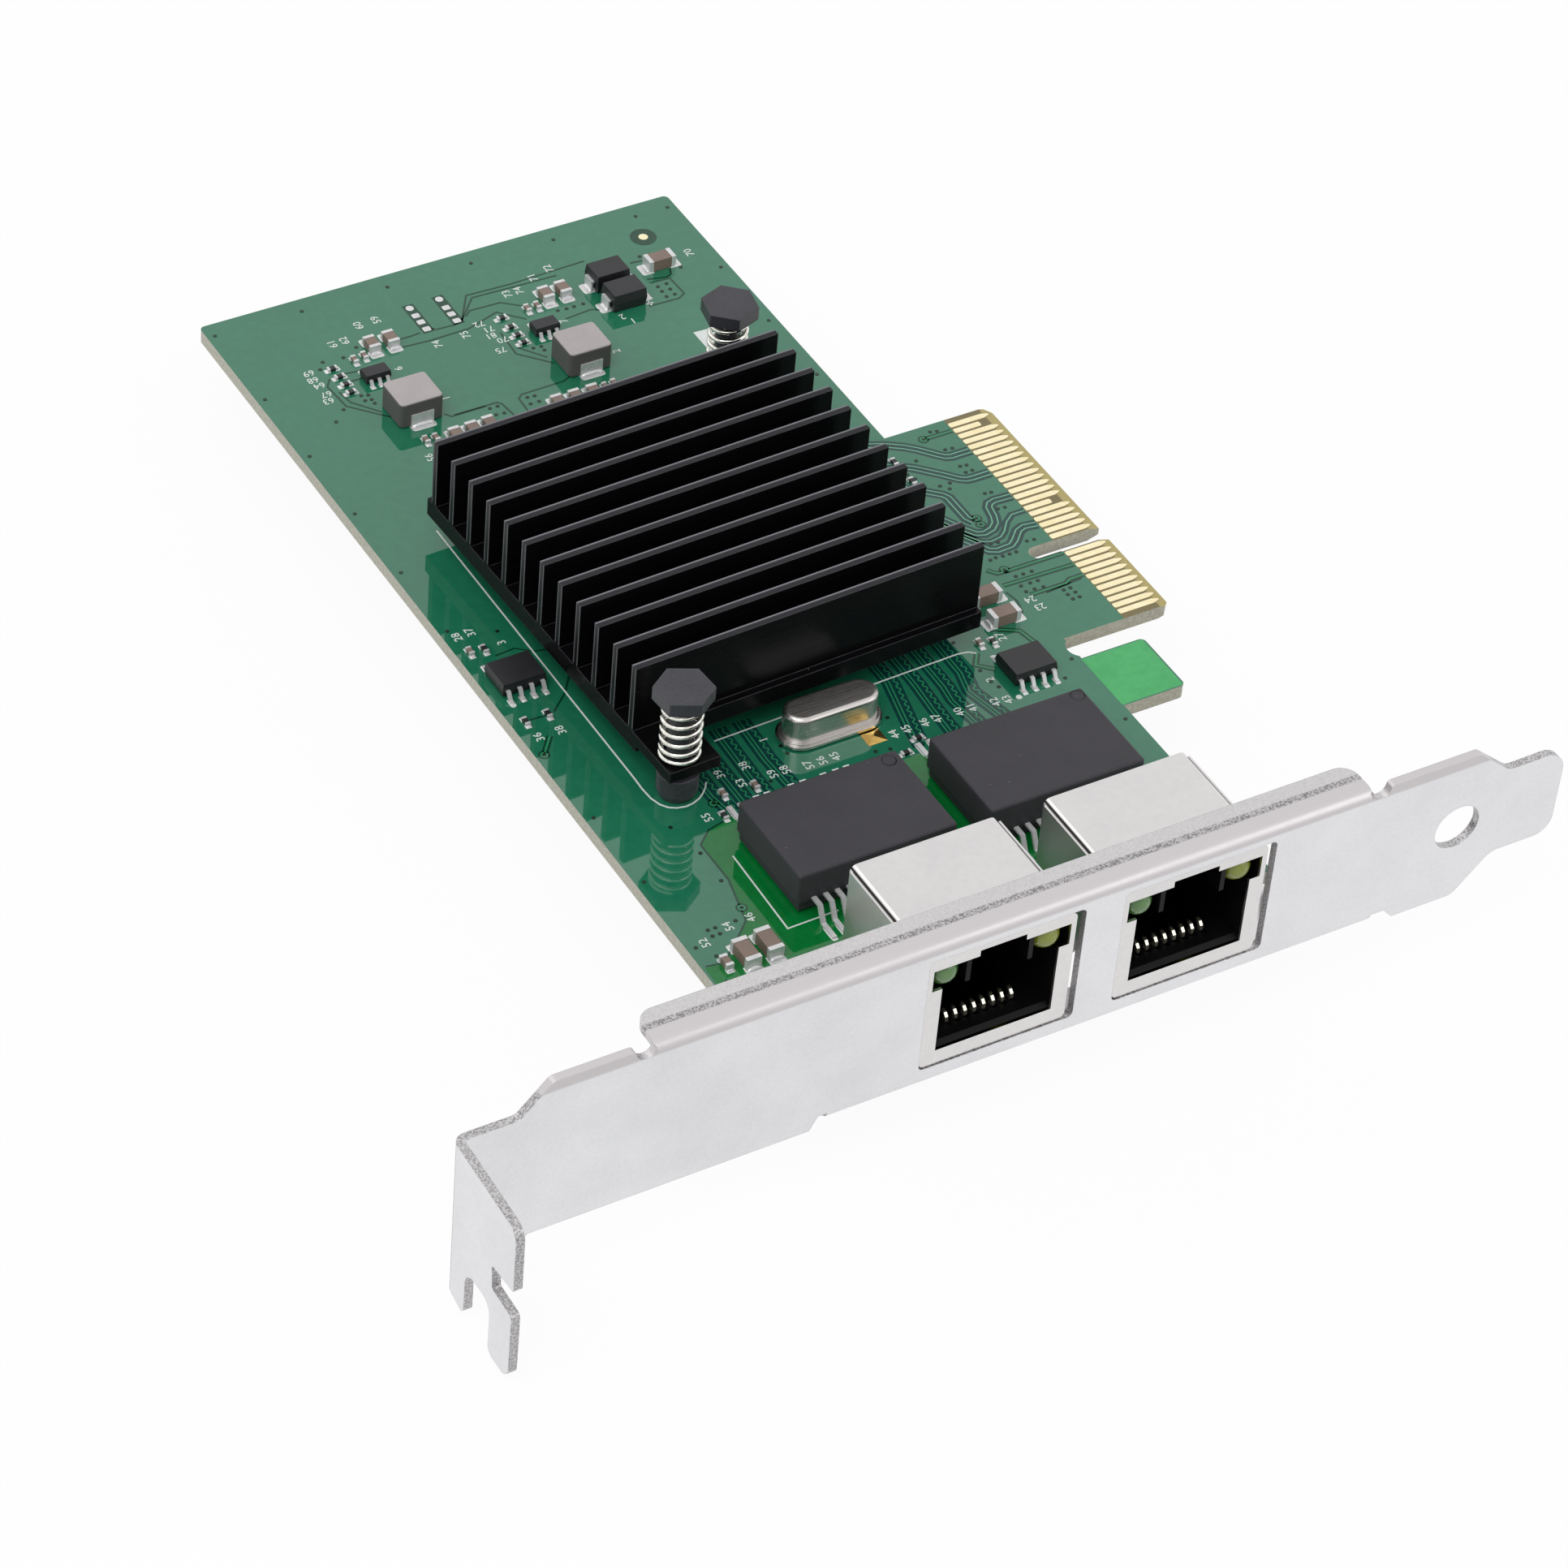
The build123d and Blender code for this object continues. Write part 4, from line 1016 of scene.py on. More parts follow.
# Black anodised fins with painted light on their tops and painted highlight lines along their edges
ANODISED = FinLightFinish("dyed_extrusion", "black_anodised", (9, 9, 11), (14, 14, 16), roughness=0.24,
                     roughness_spread=0.06, specular=0.1, grain_size=0.00009, grain_depth=2.2e-6, run_turn=-2.2,
                     run_length=0.012, painted_edge_amount=0.3, painted_edge_colour=(150, 150, 156), edge_width=0.00014, dust=0.25)
EPOXY = Finish("chip_epoxy", "chip_black", (21, 20, 24), (29, 28, 33), roughness=0.42, roughness_spread=0.06,
               specular=0.5, grain_size=0.00009, grain_depth=3.5e-6, painted_edge_amount=0.3, painted_edge_colour=(92, 92, 95),
               dust=0.15)
# Transformer moulding with painted shade on the walls of its two dimples
CASE = DimpledFinish("case_moulding", "transformer_plastic", (51, 49, 54), (61, 59, 64), roughness=0.56,
                     roughness_spread=0.06, specular=0.34, grain_size=0.00016, grain_depth=6e-6, painted_edge_amount=0.35,
                     painted_edge_colour=(108, 105, 108), edge_width=0.00014, dust=0.3,
                     dimples=((-41.3, -25.4, 0.78), (-19.7, -25.2, 0.78)))
PAD = Finish("soft_pad", "pad_grey", (140, 144, 146), (126, 130, 132), roughness=0.8, grain_size=0.0004,
             grain_depth=8e-6)
PIN = Finish("pin_nylon", "pin_plastic", (54, 54, 59), (66, 66, 72), roughness=0.32, roughness_spread=0.06,
             specular=0.35, grain_size=0.0003, grain_depth=3e-6, painted_edge_amount=0.4, painted_edge_colour=(100, 103, 108),
             edge_width=0.0002)
SPRING = DrawnFinish("spring_wire", "spring_steel", (240, 238, 230), (214, 212, 206), roughness=0.16,
                     roughness_spread=0.05, metallic=1.0, grain_size=0.0002, grain_depth=6e-7, run_length=0.004)
CAN = DrawnFinish("drawn_can", "can_metal", (206, 202, 199), (192, 188, 185), roughness=0.3, roughness_spread=0.05,
                  metallic=1.0, grain_size=0.00012, grain_depth=8e-7, run_length=0.006, painted_edge_amount=0.25,
                  painted_edge_colour=(236, 234, 232), edge_width=0.00012)
RIM = Finish("can_rim", "can_metal", (214, 211, 208), (196, 193, 190), roughness=0.16, roughness_spread=0.04,
             metallic=1.0, grain_size=0.0003, grain_depth=6e-7)
# Ferrite with painted shade on its sides and a painted edge highlight
FERRITE = SideShadeFinish("pressed_ferrite", "ferrite", (174, 168, 168), (187, 181, 180), roughness=0.62,
                       roughness_spread=0.06, grain_size=0.00014, grain_depth=6e-6, painted_edge_amount=0.4,
                       painted_edge_colour=(190, 186, 184), edge_width=0.00012)
CERAMIC = Finish("fired_ceramic", "capacitor_tan", (124, 106, 96), (140, 121, 110), roughness=0.4,
                 roughness_spread=0.06, grain_size=0.00012, grain_depth=2.5e-6, painted_edge_amount=0.25,
                 painted_edge_colour=(166, 150, 140))
RESIST = Finish("resistor_glaze", "resistor_black", (26, 26, 28), (34, 34, 37), roughness=0.3, grain_size=0.0001,
                grain_depth=2e-6)

TRACK = Finish("masked_track", "board", (40, 132, 88), (50, 144, 98), roughness=0.05, roughness_spread=0.015,
               grain_size=0.0006, grain_mottle=0.006, grain_depth=2e-7)
GAP = replace(TRACK, name="masked_gap", colour=(8, 62, 44), second=(11, 70, 49))
BAND = replace(TRACK, name="masked_band", colour=(12, 60, 58), second=(16, 68, 65))
PAIR = replace(TRACK, name="masked_pair", colour=(104, 172, 138), second=(116, 182, 148), roughness=0.06)
CLEAR = replace(TRACK, name="masked_laminate", colour=(2, 112, 46), second=(6, 124, 54), grain_size=0.0009,
                grain_mottle=0.004)
BRIGHT = replace(CLEAR, name="bright_laminate", colour=(62, 172, 98), second=(74, 184, 108), roughness=0.06)
HOLE = Finish("plated_hole", "board", (6, 40, 26), (4, 28, 20), roughness=0.3, grain_size=0.0002, grain_depth=1e-6)
LAND = replace(GOLD, name="land_gold", colour=(226, 190, 112), second=(208, 172, 94), roughness=0.2,
               roughness_spread=0.05)
SILK = Finish("silk_white", "board", (236, 240, 238), (218, 225, 222), roughness=0.55, roughness_spread=0.05,
              grain_size=0.00008, grain_mottle=0.0006, grain_depth=3e-6)

NODE_FINISHES: dict[str, Finish] = {name: finish for finish, names in (
    (MASK, "circuit_board"),
    (GOLD, "contact_fingers_front contact_fingers_back"),
    (BRACKET, "bracket"),
    (SCREW, "bracket_screws"),
    (NICKEL, "left_port_shell right_port_shell"),
    (HOUSING, "left_port_housing right_port_housing"),
    (WIRE, "left_port_contacts right_port_contacts"),
    (GREEN_LAMP, "green_status_lamps"),
    (AMBER_LAMP, "amber_status_lamps"),
    (ANODISED, "heatsink"),
    (EPOXY, "controller_chip memory_chips regulator_chips diode_bodies"),
    (PAD, "thermal_pad"),
    (PIN, "push_pins"),
    (SPRING, "push_pin_springs"),
    (CASE, "left_transformer right_transformer"),
    (RIM, "crystal_base"),
    (CAN, "crystal_can"),
    (FERRITE, "inductor_bodies"),
    (CERAMIC, "large_capacitors medium_capacitors single_capacitor small_capacitors"),
    (RESIST, "resistors"),
    (TIN, "status_lamp_leads left_transformer_leads right_transformer_leads crystal_feet memory_chip_leads "
          "regulator_leads inductor_terminals diode_terminals large_capacitor_caps medium_capacitor_caps "
          "single_capacitor_caps small_capacitor_caps resistor_caps"),
) for name in names.split()}


def dress_nodes(nodes: dict[str, bpy.types.Object]) -> None:
    """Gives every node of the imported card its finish.

    Args:
        nodes: the nodes by name.
    """
    for name, node in nodes.items():
        finish = NODE_FINISHES[name]
        node.data.materials.clear()
        node.data.materials.append(finish.material())
        LOG.info("%s: %s", name, finish.name)


# ---------------------------------------------------------------- printed board


def wavy(path: Sequence[Point], depth: float, pitch: float) -> list[Point]:
    """A path whose middle swings sideways: a sine of the distance run, faded out at both ends.

    Args:
        path: the straight runs to follow, in millimetres.
        depth: the swing to each side.
        pitch: the length of one swing.

    Returns:
        Points close enough for a smooth line.
    """
    line = np.array(path, float)
    run = np.concatenate([[0.0], np.cumsum(np.linalg.norm(np.diff(line, axis=0), axis=1))])
    at = np.linspace(0.0, run[-1], int(run[-1] / pitch * 8) + 2)
    x, y = np.interp(at, run, line[:, 0]), np.interp(at, run, line[:, 1])
    dx, dy = np.gradient(x), np.gradient(y)
    size = np.hypot(dx, dy)
    swing = depth * np.sin(2.0 * math.pi * at / pitch) * np.clip(np.minimum(at, run[-1] - at) / pitch, 0.0, 1.0)
    return list(zip(x - dy / size * swing, y + dx / size * swing))


def beside(path: Sequence[Point], shift: float) -> list[Point]:
    """A path moved sideways by shift, along the mean normal at each point.

    Args:
        path: the centre line, in millimetres.
        shift: how far, to the left of the way it runs.

    Returns:
        The moved path's points.
    """
    line = np.array(path, float)
    slope = np.gradient(line, axis=0)
    slope /= np.linalg.norm(slope, axis=1)[:, None]
    return [tuple(p) for p in line + shift * np.stack([-slope[:, 1], slope[:, 0]], axis=1)]


@dataclass
class BoardPrint:
    """What is etched, masked and printed on the board, as thin layers one on another."""

    sunk: float = -0.02
    clear_top: float = 0.01
    gap_top: float = 0.02
    track_top: float = 0.03
    hole_top: float = 0.04
    silk_top: float = 0.05
    gap_width: float = 0.22
    track_width: float = 0.16
    single_width: float = 0.22
    single_gap: float = 0.7
    pair_width: float = 1.5
    pair_shift: float = 0.3
    thin_bed: float = 0.85
    band_width: float = 2.0
    band_shifts: Point = (-0.55, -0.15)
    wave_shift: float = 0.5
    wave_depth: float = 0.16
    wave_pitch: float = 0.9
    hole_radius: float = 0.22
    ring_gap: float = 0.6
    ring_radius: float = 0.4
    dot_gap: float = 1.45
    dot_radius: float = 0.52
    lamp_margin: float = 0.6
    lamp_half: float = 0.65
    lamp_land: float = 0.95
    lamp_land_top: float = 0.07
    first_land: Point = (1.0, 2.0)
    other_land: Point = (0.85, 6.0)
    small_around: int = 10
    ring_around: int = 20
    dot_around: int = 28
    wide_around: int = 40
    silk_width: float = 0.17
    silk_dot: float = 0.32
    dash_half: float = 0.35
    dash_width: float = 0.25
    numeral: float = 0.92
    fiducial: Point = (-18.75, 63.6)
    crystal_land: Point = (-37.7, -17.1)
    crystal_turn: float = 45.0
    crystal_peak = ((1.56, -0.02), (1.5, 0.03), (0.15, 0.14))

    lines = (
        ((-48.3, 58.7), (-49.4, 58.6), (-50.8, 58.6)),
        ((-47.4, 59.2), (-46.4, 58.5), (-44.4, 58.4), (-43.4, 58.6), (-40.9, 62.4), (-35.7, 62.2), (-26.6, 62.5)),
        ((-43.8, 58.5), (-43.1, 59.0), (-40.5, 61.8), (-34.4, 61.6), (-30.5, 61.5)),
        ((-42.6, 59.2), (-41.8, 59.9), (-38.2, 59.8), (-36.2, 58.2)),
        ((-51.1, 57.3), (-47.9, 57.1), (-43.3, 57.2), (-39.3, 58.5), (-38.7, 57.8), (-37.0, 56.1)),
        ((-60.4, 55.7), (-61.2, 54.6), (-60.9, 50.9), (-57.5, 47.3)),
        ((-60.5, 53.3), (-60.2, 51.3), (-58.0, 48.5)),
        ((-52.3, 45.5), (-51.8, 44.8), (-47.8, 44.8)),
        ((-58.7, 55.8), (-56.7, 55.6)),
        ((-58.6, 54.4), (-57.3, 54.4)),
        ((-40.6, 55.2), (-40.8, 51.3), (-37.9, 48.2)),
        ((-40.2, 52.2), (-38.1, 49.4)),
        ((-33.2, 54.4), (-30.0, 54.7), (-28.5, 53.8)),
        ((-22.0, 56.1), (-19.7, 56.0), (-19.6, 53.0), (-20.5, 52.5), (-24.1, 52.6)),
        ((-18.9, 57.4), (-19.2, 56.6), (-19.9, 56.3), (-22.0, 56.8)),
        ((-22.3, 60.1), (-20.3, 59.9)),
        ((-44.2, 42.1), (-44.1, 44.5), (-43.5, 45.0), (-38.5, 45.1), (-37.4, 45.6)),
        ((-51.4, 44.9), (-46.5, 44.9), (-46.1, 44.5), (-45.8, 42.0)),
        ((-65.4, 9.4), (-63.2, 9.6), (-61.7, 8.4), (-60.1, 8.0)),
        ((-64.1, -0.4), (-61.8, 1.6), (-60.3, 3.6)),
        ((-66.8, -0.5), (-65.1, -0.6)),
        ((-68.4, -38.2), (-66.6, -38.5), (-63.3, -35.7), (-61.9, -34.4), (-60.6, -28.8), (-60.6, -23.4),
         (-58.9, -21.9), (-56.4, -21.3)),
        ((-14.3, -4.0), (-14.0, -5.6), (-14.4, -7.3), (-15.4, -8.2)),
        ((-10.6, -5.8), (-7.4, -5.5), (-6.2, -5.4)),
    )
    singles = (
        ((-9.3, 20.7), (-5.75, 20.7)),
        ((-5.75, -1.2), (-12.5, -1.2), (-13.6, -1.1), (-14.3, -0.2)),
        ((-5.75, -3.2), (-14.0, -3.0)),
        ((-5.75, -5.0), (-7.3, -5.0), (-8.0, -5.4), (-12.2, -5.4)),
        ((-19.0, -8.1), (-16.2, -9.7), (-15.8, -11.7)),
        ((-21.9, -10.8), (-23.0, -12.3), (-21.5, -13.7)),
        ((-68.0, -5.6), (-66.2, -3.4)),
    )
    pairs = (
        ((-15.8, 22.6), (-13.4, 21.6), (-11.7, 20.5), (-10.6, 19.5), (-9.2, 17.9), (-8.6, 17.3), (-8.0, 17.1),
         (-5.75, 17.1)),
        ((-15.8, 18.9), (-14.2, 18.2), (-12.5, 17.0), (-10.4, 14.9), (-9.2, 13.6), (-8.6, 13.2), (-8.0, 13.1),
         (-5.75, 13.1)),
        ((-16.4, 15.6), (-14.0, 13.7), (-12.1, 12.0), (-11.8, 11.4), (-11.8, 7.8), (-11.4, 7.0)),
        ((-5.75, 8.9), (-7.7, 9.0), (-8.4, 8.8), (-8.8, 8.3), (-9.1, 6.9), (-9.5, 5.9), (-10.3, 5.2), (-11.4, 4.9),
         (-12.2, 5.2), (-13.1, 6.5), (-14.6, 9.4), (-16.6, 11.8)),
        ((-5.75, 3.9), (-7.2, 4.1), (-8.0, 3.8), (-9.2, 2.6), (-9.9, 2.1), (-11.6, 2.0), (-12.4, 2.4), (-13.1, 3.6),
         (-13.9, 5.0), (-15.2, 7.2), (-17.0, 8.8)),
    )
    thin_lines = (
        ((-5.75, 6.3), (-7.3, 6.3), (-8.4, 5.5), (-9.4, 4.3), (-10.2, 3.7), (-11.5, 3.5), (-12.4, 3.9), (-13.3, 5.3),
         (-14.9, 8.4), (-16.8, 10.3)),
    )
    bands = (
        ((-32.0, -7.5), (-32.0, -10.9), (-32.7, -13.9), (-33.5, -17.3), (-34.1, -20.4)),
        ((-29.6, -7.5), (-29.7, -12.3), (-30.0, -16.1), (-30.2, -20.4)),
        ((-27.2, -7.5), (-27.3, -13.7), (-27.6, -15.9), (-27.2, -20.0)),
        ((-24.6, -7.5), (-24.7, -12.7), (-25.4, -15.4), (-24.4, -20.0)),
        ((-48.3, -9.5), (-48.6, -15.4), (-48.4, -20.4)),
        ((-51.0, -9.5), (-51.2, -15.2), (-51.3, -20.4)),
        ((-53.6, -9.5), (-53.6, -15.6), (-53.6, -20.4)),
        ((-56.0, -13.5), (-56.0, -17.9), (-55.5, -20.9)),
    )
    holes = (
        (-7.9, 21.5), (-7.2, 21.3), (-8.0, 18.3), (-7.2, 18.2), (-8.0, 15.3), (-7.3, 15.2), (-11.7, 18.0),
        (-8.0, 14.2), (-7.2, 14.2), (-13.7, 16.4), (-13.3, 15.5), (-11.6, 13.4), (-10.4, 13.4), (-10.9, 12.6),
        (-8.0, 10.4), (-7.3, 10.3), (-8.1, 7.7), (-7.3, 7.6), (-10.9, 3.1), (-11.7, 3.2), (-8.1, 2.0), (-7.3, 1.9),
        (-13.1, 1.0), (-12.4, 1.1), (-11.6, 1.0), (-10.8, 1.0), (-10.0, 1.0), (-12.1, -2.3), (-11.2, -2.3),
        (-10.2, -2.3), (-12.4, -3.8), (-11.3, -3.8), (-10.4, -3.8), (-12.4, -4.8), (-11.4, -4.8), (-10.4, -4.9),
        (-8.8, -6.2), (-8.0, -6.2), (-7.9, -7.0), (-8.8, -7.0), (-8.7, -7.8), (-7.9, -7.8), (-15.9, -17.8),
        (-33.3, 56.0), (-32.3, 55.9), (-31.4, 55.9), (-30.3, 55.9), (-38.7, 51.4), (-37.8, 51.3), (-37.8, 50.6),
        (-21.6, 55.2), (-20.5, 55.3), (-21.6, 54.3), (-20.6, 54.3), (-21.6, 53.3), (-20.6, 53.3), (-47.6, 44.3),
        (-46.7, 44.3), (-47.5, 43.1), (-46.6, 43.0), (-43.2, 44.3), (-42.4, 44.2), (-43.4, 43.2), (-42.4, 43.2),
        (-20.8, 60.7), (-17.7, 57.2), (-59.8, 58.5), (-60.6, 57.5), (-57.5, 58.3), (-55.5, 59.3), (-58.7, 51.8),
        (-58.0, 51.6), (-58.7, 50.9), (-58.0, 50.8), (-58.0, 50.1), (-61.4, 50.5), (-63.0, 49.0), (-63.5, 12.6),
        (-62.0, -20.0), (-61.2, -24.4), (-61.3, -28.6), (-62.8, -34.0), (-65.8, -34.0), (-65.0, -34.0),
        (-65.8, -34.9), (-65.0, -34.9), (-66.8, -37.4), (-67.6, -40.8), (-66.3, -41.0), (-23.2, -8.4),
        (-23.0, -13.2), (-22.9, -15.1), (-22.6, -16.1), (-35.0, -15.3), (-38.6, -19.1), (-37.1, -19.4),
        (-50.0, -18.4), (-46.6, -14.4), (-46.5, -15.6),
    )
    stitch_x = (-68.0, -13.75)
    stitch_y = (67.2, 55.4, 45.1, 34.9, 24.7, 14.7, -15.6, -25.6, -35.6)
    stitch_top = (-57.9, -47.8, -37.8, -27.8, -17.7)
    rings = ((-9.2, 20.7), (-10.9, 7.3), (-11.0, 6.3), (-12.6, -0.9), (-68.0, -5.6), (-61.4, -32.7), (-56.6, -18.8))
    lamp_lands = ((-47.35, (62.9, 61.5, 60.3, 59.0)), (-43.8, (63.0, 61.4, 60.2, 58.95)))
    silk_lines = (
        ((-61.75, 29.0), (-61.75, -12.2), (-61.8, -14.0), (-61.7, -15.6), (-61.35, -16.7), (-60.8, -17.45),
         (-60.1, -17.85), (-59.2, -18.05), (-58.4, -17.95), (-57.5, -17.6), (-56.8, -17.1), (-56.2, -16.5),
         (-55.75, -15.85)),
        ((-52.1, -11.0), (-23.7, -10.1), (-22.6, -10.3), (-22.0, -10.8)),
        ((-53.3, -37.0), (-58.9, -37.1), (-58.6, -26.1)),
        ((-24.0, -37.0), (-18.1, -36.9)),
        ((-28.6, 53.75), (-23.1, 53.7)),
        ((-24.2, 53.0), (-23.4, 53.0)),
        ((-23.8, 52.6), (-23.8, 53.4)),
    )
    silk_dashes = ((-52.4, -19.7), (-51.2, -19.7), (-48.5, -19.7), (-47.2, -19.7), (-44.9, -19.7), (-43.5, -19.7),
                   (-42.3, -19.7))
    silk_dots = ((-67.3, 2.1), (-21.6, -18.3))
    silk_fields = (
        ((-22.1, 46.6), (-20.3, 46.5), (-20.6, 43.3), (-22.1, 43.1)),
    )
    numerals = (
        ("60", -53.6, 62.5), ("59", -51.5, 62.6), ("61", -57.5, 60.8), ("62", -56.1, 60.8), ("6", -53.1, 54.2),
        ("1", -50.9, 47.7), ("74", -47.5, 56.2), ("75", -44.1, 56.4), ("56", -56.9, 39.7), ("71", -33.0, 62.2),
        ("72", -30.7, 62.9), ("73", -36.8, 60.8), ("74", -35.4, 60.8), ("7", -33.6, 54.1), ("70", -15.6, 59.1),
        ("2", -31.0, 47.2), ("28", -67.5, 13.5), ("37", -66.0, 13.6),
        ("3", -63.9, 10.9), ("38", -64.8, -3.1), ("36", -67.2, -3.1), ("38", -51.2, -15.4), ("39", -54.0, -15.4),
        ("53", -52.7, -17.4), ("59", -49.3, -17.6), ("58", -47.9, -17.6), ("55", -58.1, -20.3), ("46", -61.3, -34.2),
        ("54", -63.8, -34.4), ("52", -66.9, -35.4), ("1", -47.6, -12.9), ("57", -45.5, -18.0), ("56", -44.0, -18.0),
        ("45", -42.5, -18.0), ("44", -35.6, -17.7), ("45", -34.1, -17.6), ("46", -32.0, -17.5), ("47", -30.6, -17.5),
        ("40", -28.1, -17.6), ("41", -26.6, -17.6), ("42", -24.1, -17.9), ("43", -22.8, -18.1), ("2", -22.8, -14.8),
        ("27", -18.4, -9.7),
    )
    turned_numerals = (
        ("69", -62.0, 57.4), ("68", -62.1, 56.2), ("64", -61.9, 55.1), ("67", -61.9, 53.5), ("63", -62.2, 52.4),
        ("72", -42.0, 57.4), ("71", -41.5, 56.2), ("81", -41.8, 55.1), ("70", -41.0, 54.0), ("75", -42.0, 52.5),
        ("2", -27.6, 52.2), ("1", -26.9, 51.1), ("24", -12.7, -6.0), ("23", -12.4, -7.4),
    )

    def build(self) -> None:
        """Makes every layer, from the mask's clear fields up to the white print."""
        self.clear_fields()
        self.copper()
        self.drilled()
        self.lands()
        self.white_print()

    def clear_fields(self) -> None:
        """Brighter fields with no copper behind the mask: the hook tab and round the transformers."""
        under = [(-68.6, -49.9), (-68.6, -38.4), (-66.6, -38.5), (-63.3, -35.7), (-61.9, -34.4), (-60.6, -28.8),
                 (-60.6, -23.4), (-58.9, -21.9), (-56.4, -21.3), (-18.3, -21.3), (-18.3, -49.9)]
        hook = [(-12.9, -23.7), (-12.9, -16.1), (-5.7, -16.1), (-5.7, -23.7)]
        make_piece("clear_fields", [slab(under, self.sunk, self.clear_top)], CLEAR)
        make_piece("hook_field", [slab(hook, self.sunk, self.clear_top)], BRIGHT)

    def _runs(self, paths: Iterable[Sequence[Point]], width: float, high: float) -> list[Shape]:
        """A ribbon along each path."""
        return [ribbon(path, width, self.sunk, high) for path in paths]

    def _dots(self, spots: Iterable[Point], radius: float, high: float, around: int) -> list[Shape]:
        """A round dot on each spot."""
        dot = turned(((radius, self.sunk), (radius, high)), around)
        return [dot.placed(x, y) for x, y in spots]

    def copper(self) -> None:
        """Etched gaps, and the tracks that run between them."""
        make_piece("etched_gaps", self._runs(self.lines, self.gap_width, self.gap_top)
                   + self._runs(self.singles, self.single_gap, self.gap_top), GAP)
        make_piece("track_beds", self._runs(self.pairs, self.pair_width, self.gap_top)
                   + self._runs(self.thin_lines, self.thin_bed, self.gap_top)
                   + self._runs(self.bands, self.band_width, self.gap_top), BAND)
        fine = [beside(path, side * self.pair_shift) for path in self.pairs for side in (-1, 1)]
        make_piece("paired_tracks", self._runs(fine + list(self.thin_lines), self.track_width, self.track_top), PAIR)
        inside = []
        for path in self.bands:
            inside += [beside(path, shift) for shift in self.band_shifts]
            inside.append(wavy(beside(path, self.wave_shift), self.wave_depth, self.wave_pitch))
        make_piece("copper_tracks", self._runs(self.singles, self.single_width, self.track_top)
                   + self._runs(inside, self.track_width, self.track_top), TRACK)

    def drilled(self) -> None:
        """Small plated holes on both faces, and the ringed test points."""
        spots = list(self.holes) + [(x, y) for x in self.stitch_x for y in self.stitch_y]
        spots += [(x, self.stitch_y[0]) for x in self.stitch_top] + list(self.rings)
        below = turned(((self.hole_radius, BOARD_UNDER - self.hole_top), (self.hole_radius, BOARD_UNDER - self.sunk)),
                       self.small_around)
        make_piece("plated_holes", self._dots(spots, self.hole_radius, self.hole_top, self.small_around)
                   + [below.placed(x, y) for x, y in spots], HOLE)
        make_piece("ring_gaps", self._dots(self.rings, self.ring_gap, self.gap_top, self.ring_around), GAP)
        lands = self._dots(self.rings, self.ring_radius, self.track_top, self.ring_around)
        make_piece("ring_lands", lands, TRACK)

    def lands(self) -> None:
        """Bare lands: the gold sighting dot in its dark ring, the crystal's land and the empty lamp lands."""
        around = self._dots([self.fiducial], self.dot_gap, self.gap_top, self.wide_around)
        for x, ys in self.lamp_lands:
            left, right = x - self.lamp_half, x + self.lamp_half
            low, high = ys[-1] - self.lamp_margin, ys[0] + self.lamp_margin
            around.append(slab([(left, low), (right, low), (right, high), (left, high)], self.sunk, self.gap_top))
        make_piece("land_surrounds", around, GAP)
        peak = turned(self.crystal_peak, 4)
        make_piece("gold_lands", [peak.placed(*self.crystal_land, 0.0, self.crystal_turn)], LAND)
        dot = self._dots([self.fiducial], self.dot_radius, self.track_top, self.dot_around)
        make_piece("aiming_dot", dot, GOLD)
        first, other = (pillow(self.lamp_land, long, self.sunk, self.lamp_land_top, power=power)
                        for long, power in (self.first_land, self.other_land))
        bare = [(other if i else first).placed(x, y) for x, ys in self.lamp_lands for i, y in enumerate(ys)]
        make_piece("lamp_lands", bare, TIN, Skin.SMOOTH)

    def white_print(self) -> None:
        """White outlines, marks and plain numerals."""
        dashes = [((x - self.dash_half, y), (x + self.dash_half, y)) for x, y in self.silk_dashes]
        shapes = self._runs(self.silk_lines, self.silk_width, self.silk_top)
        shapes += self._runs(dashes, self.dash_width, self.silk_top)
        shapes += self._dots(self.silk_dots, self.silk_dot, self.silk_top, self.ring_around)
        shapes += [slab(outline, self.sunk, self.silk_top) for outline in self.silk_fields]
        make_piece("silk_marks", shapes, SILK)
        rows = [(label, 90.0) for label in self.numerals] + [(label, 180.0) for label in self.turned_numerals]
        cut = {label[0]: digits(label[0], self.numeral, 0.0, self.silk_top) for label, _ in rows}
        make_piece("silk_numerals", [cut[text].placed(x, y, 0.0, turn) for (text, x, y), turn in rows], SILK)


# ---------------------------------------------------------------- solder


SAME_CORNER = 4
FOOT_DEPTH = 0.05


@dataclass(frozen=True)
class Solid:
    """One separate solid of a node: its box and the middle of its lowest points, in millimetres."""

    low: np.ndarray
    high: np.ndarray
    foot: np.ndarray

    @property
    def middle(self) -> np.ndarray:
        """The middle of its box."""
        return 0.5 * (self.low + self.high)


